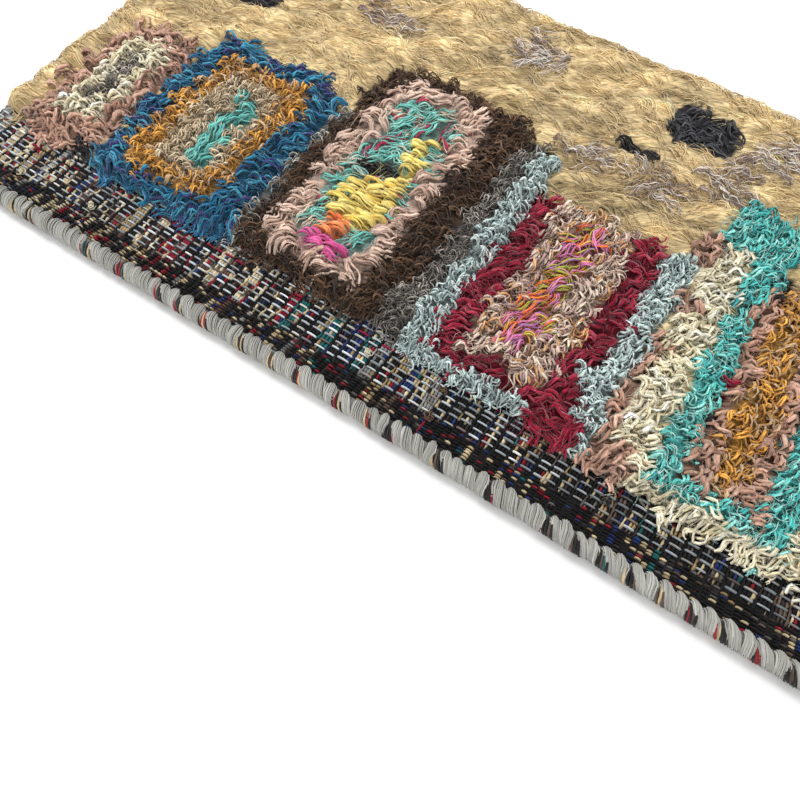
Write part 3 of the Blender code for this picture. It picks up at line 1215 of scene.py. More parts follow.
        # Painted shade: the bed is lighter on its lumps and wool clumps and darker in its creases
        # and in the wool's hollows; the random part is the yarns' own uneven tone.
        tone_and_shade = 0.9 + (0.16 - 0.1 * wool) * lump + 0.34 * wool * self.ridge(along, across)
        generator = np.random.default_rng(self.seed)
        tone_and_shade = tone_and_shade + (0.34 - 0.26 * wool) * generator.uniform(-1.0, 1.0, wool.shape)
        tone_and_shade = tone_and_shade - wool * self.hollow(along, across)
        tints = tints * tone_and_shade[..., None]
        tops = self.rug.to_metres(np.stack([along, across, height], axis=-1))
        mesh = flat_based("pile_bed", tops, tints, self.base_height * MM)
        corners = np.array([vertex.co for vertex in mesh.vertices]) / MM
        x = corners[:, 0] + 4.0 * soft_noise(corners[:, 0], corners[:, 1], 34.0, 11.0)
        y = corners[:, 1] + 4.0 * soft_noise(corners[:, 0], corners[:, 1], 30.0, 12.0)
        add_lie(mesh, np.stack([1.1 * (0.94 * y - 0.34 * x), 0.94 * x + 0.34 * y, 0 * x], axis=-1))
        mesh.materials.append(yarn_material("pile_bed", YARN_BED))
        mesh.materials.append(yarn_material("wool_bed", WOOL_BED))
        is_wool = np.zeros(len(mesh.polygons), np.int32)
        quads = (wool[:-1, :-1] + wool[1:, 1:] > 1.0).astype(np.int32).ravel()
        is_wool[: len(quads)] = quads
        mesh.polygons.foreach_set("material_index", is_wool)
        bed = link_piece("pile_bed", mesh)
        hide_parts("pile")
        return bed

    def bed_tone(self, band: Band) -> np.ndarray:
        """Mix the tone that a yarn's field has deep between its locks.

        Args:
            band: the yarn.

        Returns:
            A linear colour, darkened by the yarn's bed_shade as painted shade.
        """
        yarn = next(yarn for yarn in YARNS if yarn.band is band)
        if yarn.over:
            return self.bed_tone(yarn.over)
        whole = sum(share for share, _ in yarn.tones)
        mixed = sum(share / whole * np.array(color) for share, color in yarn.tones)
        # Painted shade: the field deep between the locks is the yarn's mean tone darkened by
        # bed_shade.
        return linear(tuple(mixed * yarn.bed_shade))

    def inside(self, along: np.ndarray, across: np.ndarray, margin: float) -> np.ndarray:
        """Tell which places lie in the pile, that far inside its rims.

        Args:
            along: places along the bound edge.
            across: distances from the bound edge.
            margin: distance kept from every rim.

        Returns:
            A mask, true inside.
        """
        inset = self.rim_inset + margin
        kept = (along > inset) & (along < self.rug.length - inset)
        return kept & (across > self.front(along) + margin) & (across < self.rug.depth - inset)

    def middles_of(self, yarn: Yarn, generator: np.random.Generator) -> np.ndarray:
        """Spread the middles of one yarn's locks over its part of the chart.

        Args:
            yarn: the yarn.
            generator: seeded source of chance.

        Returns:
            Places of the middles, along and across.
        """
        forward = yarn.length / yarn.layers
        aside = yarn.width * 0.86
        is_level = abs(math.cos(math.radians(yarn.heading))) > 0.7
        pitch_x, pitch_y = (forward, aside) if is_level else (aside, forward)
        x = np.arange(0.0, self.rug.length + pitch_x, pitch_x)
        y = np.arange(0.0, self.rug.depth + pitch_y, pitch_y)
        columns, rows = np.meshgrid(x, y)
        columns = columns + 0.5 * pitch_x * (np.arange(len(y)) % 2)[:, None]
        grid = np.stack([columns, rows], axis=-1).reshape(-1, 2)
        jitter = generator.uniform(-self.grid_jitter, self.grid_jitter, grid.shape)
        grid = grid + jitter * np.array([pitch_x, pitch_y])
        grid = grid[self.inside(grid[:, 0], grid[:, 1], 4.0)]
        if not yarn.suffix:
            grid = np.concatenate([grid, self.rim_middles(yarn.width * 0.75)])
        own = [yarn.band, *(other.band for other in YARNS if other.over is yarn.band)]
        numbers = [BAND_NUMBERS[band] for band in own]
        return grid[np.isin(self.bands_at(grid[:, 0], grid[:, 1]), numbers)]

    def rim_middles(self, pitch: float) -> np.ndarray:
        """Line up places a little inside all four rims of the pile.

        Args:
            pitch: distance between them.

        Returns:
            The places.
        """
        inset = self.rim_inset + 2.5
        x = np.arange(inset, self.rug.length - inset, pitch)
        near = self.front(x) + 2.5
        far = np.full(x.shape, self.rug.depth - inset)
        y = np.arange(near[0], self.rug.depth - inset, pitch)
        left = np.full(y.shape, inset)
        right = np.full(y.shape, self.rug.length - inset)
        sides = [(x, near), (x, far), (left, y), (right, y)]
        return np.concatenate([np.stack(side, axis=-1) for side in sides])

    def headings_of(
        self, yarn: Yarn, middles: np.ndarray, generator: np.random.Generator
    ) -> np.ndarray:
        """Choose which way each lock points.

        Args:
            yarn: the yarn.
            middles: middles of the locks.
            generator: seeded source of chance.

        Returns:
            Headings in radians; locks beside a rim lean outwards.
        """
        along, across = middles[:, 0], middles[:, 1]
        number = BAND_NUMBERS[yarn.band]
        wander = soft_noise(along, across, 42.0, 5.0 + number)
        heading = np.radians(yarn.heading + yarn.sway * wander)
        heading = heading + np.radians(yarn.sway * generator.uniform(-0.5, 0.5, len(middles)))
        turned = soft_noise(along, across, 60.0, 40.0 + number) > 0.15
        heading = heading + np.pi * turned
        reach = self.fold_back
        pull_front = np.clip(1.0 - (across - self.front(along)) / reach, 0.0, 1.0)
        pull_back = np.clip(1.0 - (self.rug.depth - 8.0 - across) / reach, 0.0, 1.0)
        pull_left = np.clip(1.0 - (along - 8.0) / reach, 0.0, 1.0)
        pull_right = np.clip(1.0 - (self.rug.length - 8.0 - along) / reach, 0.0, 1.0)
        x = np.cos(heading) + self.lean_out * (pull_right - pull_left)
        y = np.sin(heading) + self.lean_out * pull_back - 0.8 * pull_front
        return np.arctan2(y, x)

    def root_locks(
        self, yarn: Yarn, middles: np.ndarray, generator: np.random.Generator
    ) -> tuple[np.ndarray, np.ndarray, np.ndarray]:
        """Set each lock's root behind its middle, inside the pile.

        Args:
            yarn: the yarn.
            middles: middles of the locks.
            generator: seeded source of chance.

        Returns:
            Roots, headings in radians and lengths.
        """
        heading = self.headings_of(yarn, middles, generator)
        length = yarn.length * generator.uniform(0.82, 1.12, len(middles))
        ahead = 0.5 * length[:, None] * toward(heading)
        tips = middles + ahead
        is_own = self.bands_at(tips[:, 0], tips[:, 1]) == BAND_NUMBERS[yarn.band]
        length = np.where(is_own | (yarn.over is not None), length, self.short_of_edge * length)
        back = self.behind_middle * length[:, None]
        roots = middles - back * toward(heading)
        out = ~self.inside(roots[:, 0], roots[:, 1], self.root_margin)
        heading = np.where(out, heading + np.pi, heading)
        roots = middles - back * toward(heading)
        inset = self.rim_inset + self.root_margin
        roots[:, 0] = np.clip(roots[:, 0], inset, self.rug.length - inset)
        near = self.front(roots[:, 0]) + self.root_margin
        roots[:, 1] = np.clip(roots[:, 1], near, self.rug.depth - inset)
        fall = np.maximum(-np.sin(heading), 0.25)
        room = (roots[:, 1] - self.front(roots[:, 0]) + self.overhang) / fall
        length = np.where(np.sin(heading) < 0.0, np.minimum(length, room), length)
        return roots, heading, length

    def grow(
        self,
        yarn: Yarn,
        roots: np.ndarray,
        heading: np.ndarray,
        length: np.ndarray,
        generator: np.random.Generator,
    ) -> Guides:
        """Grow a lock of strands from each root.

        Args:
            yarn: the yarn.
            roots: places of the roots, along and across.
            heading: which way each lock points, in radians.
            length: how long each lock is.
            generator: seeded source of chance.

        Returns:
            Guide lines of every strand.
        """
        locks = len(roots)
        shape = (locks, yarn.strands)
        share = np.linspace(0.0, 1.0, yarn.steps)
        stray = 6.0 + 30.0 * yarn.loose
        heading = heading[:, None] + np.radians(generator.uniform(-stray, stray, shape))
        bend = np.radians(yarn.bend) * generator.uniform(-1.0, 1.0, (locks, 1))
        bend = bend + np.radians(generator.uniform(-1.5, 1.5, shape) * stray)
        turn = heading[..., None] + bend[..., None] * share**1.5
        length = length[:, None] * generator.uniform(0.88, 1.06, shape)
        stride = length[..., None] / (yarn.steps - 1) * np.clip(0.45 + share * 2.6, 0.0, 1.0)
        step_x = stride * np.cos(turn)
        step_y = stride * np.sin(turn)
        along = roots[:, None, None, 0] + np.cumsum(step_x, axis=-1) - step_x[..., :1]
        across = roots[:, None, None, 1] + np.cumsum(step_y, axis=-1) - step_y[..., :1]
        place = (np.arange(yarn.strands) + 0.5) / yarn.strands - 0.5
        place = place + generator.uniform(-0.5, 0.5, shape) / yarn.strands
        side = place[..., None] * yarn.width * (0.5 + 0.5 * share)
        grown = np.clip(share / self.root_share, 0.0, 1.0)
        phase = generator.uniform(0.0, 2 * np.pi, (locks, 1))
        phase = phase + generator.uniform(-0.4, 0.4, shape) * (1.0 + 7.0 * yarn.loose)
        pace = yarn.wave_length * generator.uniform(0.85, 1.2, (locks, 1))
        pace = pace * generator.uniform(1.0 - 0.25 * yarn.loose, 1.0 + 0.25 * yarn.loose, shape)
        swing = phase[..., None] + 2 * np.pi * share * (length / pace)[..., None]
        depth = yarn.wave * generator.uniform(0.7, 1.25, shape)[..., None] * grown
        side = side + depth * np.sin(swing)
        along = along - side * np.sin(turn)
        across = across + side * np.cos(turn)
        along = np.clip(along, -1.0, self.rug.length + 1.0)
        across = np.clip(across, 0.0, self.rug.depth + 1.0)
        floor = self.surface(along, across)
        floor[..., 1:-1] = 0.5 * floor[..., 1:-1] + 0.25 * (floor[..., :-2] + floor[..., 2:])
        floor = np.maximum(floor, self.ground.at(along, across))
        bulk = np.clip((floor - 3.0) / 6.0, 0.3, 1.0)
        layer = generator.uniform(0.0, yarn.stack, (locks, 1))
        layer = layer + generator.uniform(-0.8, 0.8, shape)
        arch = yarn.arch * generator.uniform(0.5, 1.3, (locks, 1))
        middling = np.clip(1.0 - (2.0 * place) ** 2, 0.0, 1.0)
        arch = arch + yarn.dome * middling * generator.uniform(0.6, 1.2, (locks, 1))
        rise = layer[..., None] * (1.0 - 0.6 * share**2)
        rise = rise + arch[..., None] * np.sin(np.pi * share**0.75) + yarn.lift
        radius = yarn.girth / 2
        sunk = -self.root_depth * (1.0 - grown)
        height = floor + sunk + 0.8 * radius + bulk * np.maximum(rise, 0.0) * grown
        height = height + yarn.coil * depth * np.cos(swing)
        height = np.maximum(height, self.ground.at(along, across) + radius)
        height = np.maximum(height, 1.15 * radius)
        points = np.stack([along, across, height], axis=-1)
        count = locks * yarn.strands
        slim = 1.0 - (1.0 - yarn.taper) * np.abs(2 * share - 0.7) ** 2.5
        slim = np.clip(slim, 0.2, 1.0)
        girths = radius * slim * generator.uniform(0.85, 1.1, (count, 1))
        tone = np.repeat(pick_tones(yarn.tones, locks, generator), yarn.strands, axis=0)
        own = pick_tones(yarn.tones, count, generator)
        is_mixed = generator.uniform(0.0, 1.0, (count, 1)) < self.mixed_share
        tone = np.where(is_mixed, own, tone)
        # Painted shade and light: each strand darkens towards its root, deep in the pile, and
        # lightens towards its tip, and the strands at a lock's sides are darker than its middle.
        shade = yarn.root_shade + (1.0 - yarn.root_shade) * np.clip(share / 0.3, 0.0, 1.0)
        shade = shade * (1.0 + (yarn.tip_shade - 1.0) * share)
        shade = shade[None, :] * (0.82 + 0.24 * middling.reshape(-1, 1))
        # The yarn's own uneven tone, and for the wool painted shade: lighter on its clumps, darker
        # in its creases and in its shaded hollows.
        tone_and_shade = 1.0 + 0.08 * soft_noise(along, across, 44.0, 17.0)
        if yarn.band is Band.WOOL:
            tone_and_shade = tone_and_shade + 0.34 * self.ridge(along, across) - self.hollow(along, across)
        tone_and_shade = tone_and_shade.reshape(count, yarn.steps)
        tints = tone[:, None, :] * (shade * tone_and_shade)[..., None]
        return Guides(points.reshape(count, yarn.steps, 3), girths, tints)

    def fluff_of(self, yarn: Yarn) -> Yarn:
        """Thin a yarn down to the stray fibres that stand off its locks."""
        return replace(
            yarn, girth=0.4, strands=yarn.fluff, steps=5, width=yarn.width * 1.15, loose=0.9,
            bend=120.0, wave=1.2, wave_length=11.0, lift=yarn.lift + 0.7, stack=yarn.stack + 0.8,
            taper=0.5, root_shade=0.8,
        )

    def strays_of(self, yarn: Yarn, generator: np.random.Generator) -> list[Guides]:
        """Curl the loose bits of one yarn that lie on the bare strip.

        Args:
            yarn: the yarn.
            generator: seeded source of chance.

        Returns:
            Their guide lines, if it has any.
        """
        own = [stray for stray in STRAYS if stray[0] is yarn.band and not yarn.suffix]
        if not own:
            return []
        roots = np.array([stray[1:3] for stray in own])
        length = np.array([stray[3] for stray in own])
        heading = generator.uniform(-np.pi, np.pi, len(own))
        bit = replace(
            yarn, strands=6, width=4.0, girth=min(yarn.girth, 1.2), loose=0.9, bend=240.0,
            wave=1.0, wave_length=6.0, steps=8, stack=1.5, dome=2.0, root_shade=0.8,
        )
        return [self.grow(bit, roots, heading, length, generator)]

    def build_locks(self) -> list[bpy.types.Object]:
        """Grow and spin the locks of every yarn.

        Returns:
            One piece for each yarn.
        """
        pieces = []
        for number, yarn in enumerate(YARNS):
            generator = np.random.default_rng(self.seed * 100 + number)
            middles = self.middles_of(yarn, generator)
            roots, heading, length = self.root_locks(yarn, middles, generator)
            guides = [self.grow(yarn, roots, heading, length, generator)]
            if yarn.fluff:
                fluff = self.fluff_of(yarn)
                guides.append(self.grow(fluff, roots, heading, length, generator))
            guides.extend(self.strays_of(yarn, generator))
            name = f"pile_{yarn.band.value}{yarn.suffix}"
            piece = spin_piece(
                name, guides, yarn.finish, self.rug, flat=yarn.flat, twist=yarn.twist
            )
            pieces.append(piece)
        return pieces

    def build(self) -> list[bpy.types.Object]:
        """Build the bed and the locks."""
        return [self.build_bed(), *self.build_locks()]


# One warp over one bundle of weft: share of the way, height, girth.
WARP_COURSE = (
    (0.0, -2.4, 0.6), (0.1, -1.0, 0.8), (0.2, 0.0, 1.0), (0.5, 0.25, 1.05), (0.8, 0.0, 1.0),
    (0.9, -1.0, 0.8),
)

# One dark row over one bundle, as two beads: share of the way, height, girth.
EDGE_COURSE = (
    (0.0, -1.9, 0.45), (0.12, -0.1, 0.95), (0.26, 0.2, 1.1), (0.4, -0.1, 0.95),
    (0.5, -1.9, 0.45), (0.62, -0.1, 0.95), (0.76, 0.2, 1.1), (0.9, -0.1, 0.95),
)
BEADS_PER_BUNDLE = 2
STEPS_PER_BEAD = 4

# How bright the strip's yarns are along the rug, against the usual.
VIVID_PLACES = (0.0, 250.0, 430.0, 520.0)
VIVID_SHARES = (1.25, 1.4, 1.2, 0.75)

UNDER_STRIP = (24, 22, 22)
UNDER_PILE = (126, 106, 78)


@dataclass
class WovenGround:
    """The flat-woven ground with its bare strip of warps and wefts.

    Sizes and places are in millimetres. The shares tell how many yarns are
    bright, keep their bundle's colour, follow their column or lie in a busy one.
    """

    rug: RugFrame
    ground: Field
    cut_inset: float = 5.0
    bundle_pitch: float = 8.3
    bundle_spread: float = 1.1
    groove: float = 2.0
    warp_girth: float = 1.6
    first_row: float = 30.2
    row_pitch: float = 4.2
    bare_until: float = 74.0
    edge_start: float = 12.0
    edge_pitch: float = 2.15
    edge_girth: float = 0.9
    sink: float = 1.7
    crest_from: float = 100.0
    crest_to: float = 120.0
    strip_end: float = 90.0
    lead_from: float = 150.0
    lead_span: float = 300.0
    mark_row: float = 53.0
    mark_share: float = 0.6
    bright_share: float = 0.5
    same_share: float = 0.7
    led_share: float = 0.8
    busy_share: float = 0.36
    seed: int = 8

    def __post_init__(self) -> None:
        """Space the bundles of weft and the rows of warp, as uneven as hand work."""
        generator = np.random.default_rng(self.seed)
        length = self.rug.length - 2 * self.cut_inset
        count = round(length / self.bundle_pitch)
        widths = self.bundle_pitch + generator.uniform(-1.0, 1.0, count) * self.bundle_spread
        bounds = np.concatenate([[0.0], np.cumsum(widths)]) * length / widths.sum()
        self.bounds = bounds + self.cut_inset
        rows = [self.first_row]
        extra = 1.0
        while rows[-1] < self.bare_until:
            rows.append(rows[-1] + self.row_pitch + extra)
            extra *= 0.6
        self.rows = np.array(rows)

    def top(self, across: np.ndarray) -> np.ndarray:
        """Read the ground's upper face across the rug.

        Args:
            across: distances from the bound edge.

        Returns:
            Heights of the rib crests.
        """
        samples = np.linspace(self.crest_from, self.crest_to, 15)
        grid = np.stack([self.ground.at(np.full(across.shape, x), across) for x in samples])
        return grid.max(axis=0)

    def build_cloth(self) -> bpy.types.Object:
        """Build the sheet under the yarns, woven on its underside too.

        Returns:
            The sheet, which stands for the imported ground.
        """
        low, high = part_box("ground_weave")
        near = (low[1] - self.rug.origin_y) / MM
        far = (high[1] - self.rug.origin_y) / MM
        alongs = np.linspace(self.cut_inset, self.rug.length - self.cut_inset, 110)
        rows = np.concatenate([np.linspace(near, 40.0, 12), np.linspace(46.0, far, 30)])
        across, along = np.meshgrid(rows, alongs, indexing="ij")
        crest = self.top(np.clip(rows, near + 0.5, far - 1.0))[:, None] + 0 * across
        top = crest - self.sink
        under = np.maximum(crest - 3.1, 0.0)
        rib = 0.1 * np.cos(along * 1.9)
        generator = np.random.default_rng(self.seed)
        is_strip = across[..., None] < self.strip_end
        dark = np.where(is_strip, linear(UNDER_STRIP), linear(UNDER_PILE))
        knots = pick_tones(TURN_TONES, across.size, generator).reshape(*across.shape, 3)
        tops = self.rug.to_metres(np.stack([along, across, top + rib], axis=-1))
        unders = self.rug.to_metres(np.stack([along, across, under], axis=-1))
        mesh = closed_slab("ground_cloth", tops, unders, dark, knots * 0.8)
        mesh.materials.append(yarn_material("ground_cloth", GROUND_YARN))
        cloth = link_piece("ground_cloth", mesh)
        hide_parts("ground_weave")
        return cloth

    def lead_tones(self, middles: np.ndarray, generator: np.random.Generator) -> np.ndarray:
        """Draw leading colours for wefts; the mix drifts along the rug.

        Args:
            middles: places along the rug.
            generator: seeded source of chance.

        Returns:
            A linear colour for each place.
        """
        left = pick_tones(LEFT_LEADS, len(middles), generator)
        right = pick_tones(RIGHT_LEADS, len(middles), generator)
        share = np.clip((middles - self.lead_from) / self.lead_span, 0.0, 1.0)
        chosen = generator.uniform(0.0, 1.0, len(middles)) < share
        return np.where(chosen[:, None], right, left)

    def wefts(self) -> Guides:
        """Lay the wefts across the strip: three to a bundle and one between.

        Returns:
            Guide lines of the weft yarns.
        """
        generator = np.random.default_rng(self.seed + 1)
        left, right = self.bounds[:-1], self.bounds[1:]
        middles = (left + right) / 2
        reach = (right - left - self.groove) / 3.0
        places = [middles - reach, middles, middles + reach, left]
        middle = np.stack(places, axis=1).ravel()
        is_groove = np.tile([False, False, False, True], len(left))[:, None]
        width = np.where(is_groove, self.groove, np.repeat(reach, 4)[:, None])
        turns = np.arange(4) / 4.0
        spans = np.diff(self.rows)[:, None]
        beads = (self.rows[:-1, None] + turns[None, :] * spans).ravel()
        lifts = np.tile(-np.cos(2 * np.pi * turns), len(spans))
        across = np.concatenate([[self.edge_start, 18.0, 26.0], beads])[None, :]
        number = np.concatenate([[0, 0, 0], np.repeat(np.arange(len(spans)) + 1, 4)])
        beat = np.concatenate([[-1.6, -1.6, -1.6], lifts])[None, :]
        count = len(middle)
        along = middle[:, None] + self.wander(middle[:, None], across)
        swell = 0.3 * soft_noise(along, across + 0 * along, 13.0, 7.0)
        dip = np.where(is_groove, -0.85 - 0.35 * beat, -1.15 + 0.5 * beat)
        dip = np.where(number[None, :] == 0, -2.4, dip)
        height = self.top(across[0])[None, :] + dip + swell
        height = height + generator.uniform(-0.15, 0.15, height.shape)
        points = np.stack(np.broadcast_arrays(along, across, height), axis=-1)
        girths = width * 0.55 * np.where(is_groove, 0.9 - 0.22 * beat, 0.97 + 0.14 * beat)
        girths = girths * generator.uniform(0.85, 1.12, (count, 1))
        blocks = len(spans) + 1
        lead = np.repeat(self.lead_tones(middles, generator), 4, axis=0)
        other = self.lead_tones(np.repeat(middle, blocks), generator).reshape(count, blocks, 3)
        is_bright = generator.uniform(0.0, 1.0, (len(left), 1)) < self.bright_share
        strength = np.where(is_bright, generator.uniform(0.3, 0.9, (len(left), 1)), 0.1)
        strength = np.repeat(strength, 4, axis=0) * np.where(is_groove, 0.5, 1.0)
        strength = strength * self.vivid(middle)[:, None]
        plain = pick_tones(BASE_TONES, count * blocks, generator).reshape(count, blocks, 3)
        same = generator.uniform(0.0, 1.0, (count, blocks, 1)) < self.same_share
        bright = np.where(same, lead[:, None, :], other)
        bright = bright * generator.uniform(0.6, 1.1, (count, blocks, 1))
        shown = generator.uniform(0.0, 1.0, (count, blocks)) < strength
        shown[:, 0] = False
        tone = np.where(shown[..., None], bright, plain)[:, number, :]
        return Guides(points, girths, tone)

    def vivid(self, along: np.ndarray) -> np.ndarray:
        """Tell how bright the strip's yarns are along the rug, against the usual."""
        return np.interp(along, VIVID_PLACES, VIVID_SHARES)

    def wander(self, along: np.ndarray, across: np.ndarray) -> np.ndarray:
        """Sway the bundles of weft a little as they cross the strip."""
        return 0.8 * soft_noise(along, across, 19.0, 6.0)

    def lines_over(
        self, lines: np.ndarray, shares: np.ndarray, arch: np.ndarray
    ) -> tuple[np.ndarray, np.ndarray]:
        """Run level lines along the rug, with the same shape over each bundle.

        Args:
            lines: distances of the lines from the bound edge.
            shares: places over one bundle, from 0 to 1.
            arch: how high the line lies at each of them.

        Returns:
            Places along the rug, and how high each lies.
        """
        along = (self.bounds[:-1, None] + shares[None, :] * np.diff(self.bounds)[:, None]).ravel()
        shape = (len(lines), len(along))
        lift = np.tile(arch, len(self.bounds) - 1)
        return np.broadcast_to(along, shape), np.broadcast_to(lift, shape)

    def warps(self) -> Guides:
        """Run the pale warps along the strip; each dives between bundles.

        Returns:
            Guide lines of the warp yarns.
        """
        generator = np.random.default_rng(self.seed + 2)
        shares, arch, fullness = np.array(WARP_COURSE).T
        steps = len(shares)
        along, lift = self.lines_over(self.rows, shares, arch)
        bundles = len(self.bounds) - 1
        shape = along.shape
        stagger = generator.uniform(-0.5, 0.5, (shape[0], bundles))
        stagger = stagger + generator.uniform(-0.6, 0.6, (1, bundles))
        across = self.rows[:, None] + np.repeat(stagger, steps, axis=1)
        rise = np.repeat(generator.uniform(-0.35, 0.2, (shape[0], bundles)), steps, axis=1)
        height = self.top(self.rows)[:, None] - 0.1 + lift + rise
        along = along + self.wander(along, across)
        points = np.stack([along, across, height], axis=-1)
        girths = self.warp_girth / 2 * np.tile(fullness, bundles)[None, :]
        fat = np.repeat(generator.uniform(0.75, 1.15, (shape[0], bundles)), steps, axis=1)
        tones = pick_tones(WARP_TONES, shape[0] * bundles, generator)
        blocks = tones.reshape(shape[0], bundles, 3)
        fade = 0.35 + 0.65 * generator.uniform(0.0, 1.0, (1, bundles, 1)) ** 0.5
        fade = fade * self.vivid((self.bounds[:-1] + self.bounds[1:]) / 2)[None, :, None]
        blocks = blocks * fade * generator.uniform(0.3, 1.1, (shape[0], bundles, 1)) ** 0.7
        mark = np.argmin(np.abs(self.rows - self.mark_row))
        dyed = pick_tones(MARK_TONES, bundles, generator)
        is_dyed = generator.uniform(0.0, 1.0, (bundles, 1)) < self.mark_share
        blocks[mark] = np.where(is_dyed, dyed, blocks[mark])
        return Guides(points, girths * fat, np.repeat(blocks, steps, axis=1))

    def edge_rows(self) -> Guides:
        """Lay the tight dark rows where the wefts turn at the bound edge.

        Returns:
            Guide lines of the beaded rows.
        """
        generator = np.random.default_rng(self.seed + 3)
        shares, arch, fullness = np.array(EDGE_COURSE).T
        steps = len(shares)
        lines = np.arange(self.edge_start, self.first_row - 1.2, self.edge_pitch)
        along, lift = self.lines_over(lines, shares, arch)
        bundles = len(self.bounds) - 1
        shape = along.shape
        shift = generator.uniform(-0.5, 0.5, (1, bundles))
        shift = shift + generator.uniform(-0.35, 0.35, (shape[0], bundles))
        across = lines[:, None] + np.repeat(shift, steps, axis=1)
        swell = 0.4 * soft_noise(along, lines[:, None] + 0 * along, 15.0, 9.0)
        beads = BEADS_PER_BUNDLE * bundles
        rise = generator.uniform(-0.45, 0.35, (shape[0], beads))
        rise = rise + generator.uniform(-0.7, 0.4, (1, beads))
        rise = np.repeat(rise, STEPS_PER_BEAD, axis=1)
        height = self.top(lines)[:, None] - 0.45 + lift + swell + rise
        points = np.stack([along, across, height], axis=-1)
        girths = self.edge_girth * np.tile(fullness, bundles)[None, :]
        fat = generator.uniform(0.75, 1.15, shape)
        halves = np.repeat(self.bounds[:-1], BEADS_PER_BUNDLE)
        specks = np.tile(halves, shape[0])
        mixed = self.lead_tones(specks, generator).reshape(shape[0], len(halves), 3)
        plain = pick_tones(BASE_TONES, len(specks), generator).reshape(*mixed.shape)
        column = self.lead_tones(halves, generator)[None, :, :]
        is_led = generator.uniform(0.0, 1.0, mixed.shape[:2])[..., None] < self.led_share
        lead = np.where(is_led, column, mixed)
        is_busy = generator.uniform(0.0, 1.0, (1, len(halves))) < self.busy_share
        strength = np.where(is_busy, 0.62, 0.1) * self.vivid(halves)[None, :]
        shown = generator.uniform(0.0, 1.0, lead.shape[:2]) < strength
        dim = generator.uniform(0.45, 0.95, (*lead.shape[:2], 1))
        blocks = np.where(shown[..., None], lead * dim, plain)
        return Guides(points, girths * fat, np.repeat(blocks, STEPS_PER_BEAD, axis=1))

    def build(self) -> list[bpy.types.Object]:
        """Returns:
            The sheet, the wefts and the warps.
        """
        cloth = self.build_cloth()
        guides = [self.wefts(), self.edge_rows()]
        wefts = spin_piece("ground_wefts", guides, GROUND_YARN, self.rug)
        warps = spin_piece("ground_warps", [self.warps()], GROUND_YARN, self.rug)
        return [cloth, wefts, warps]


CORD_TONE = (112, 111, 106)
CORD_GAP_TONE = (22, 20, 20)


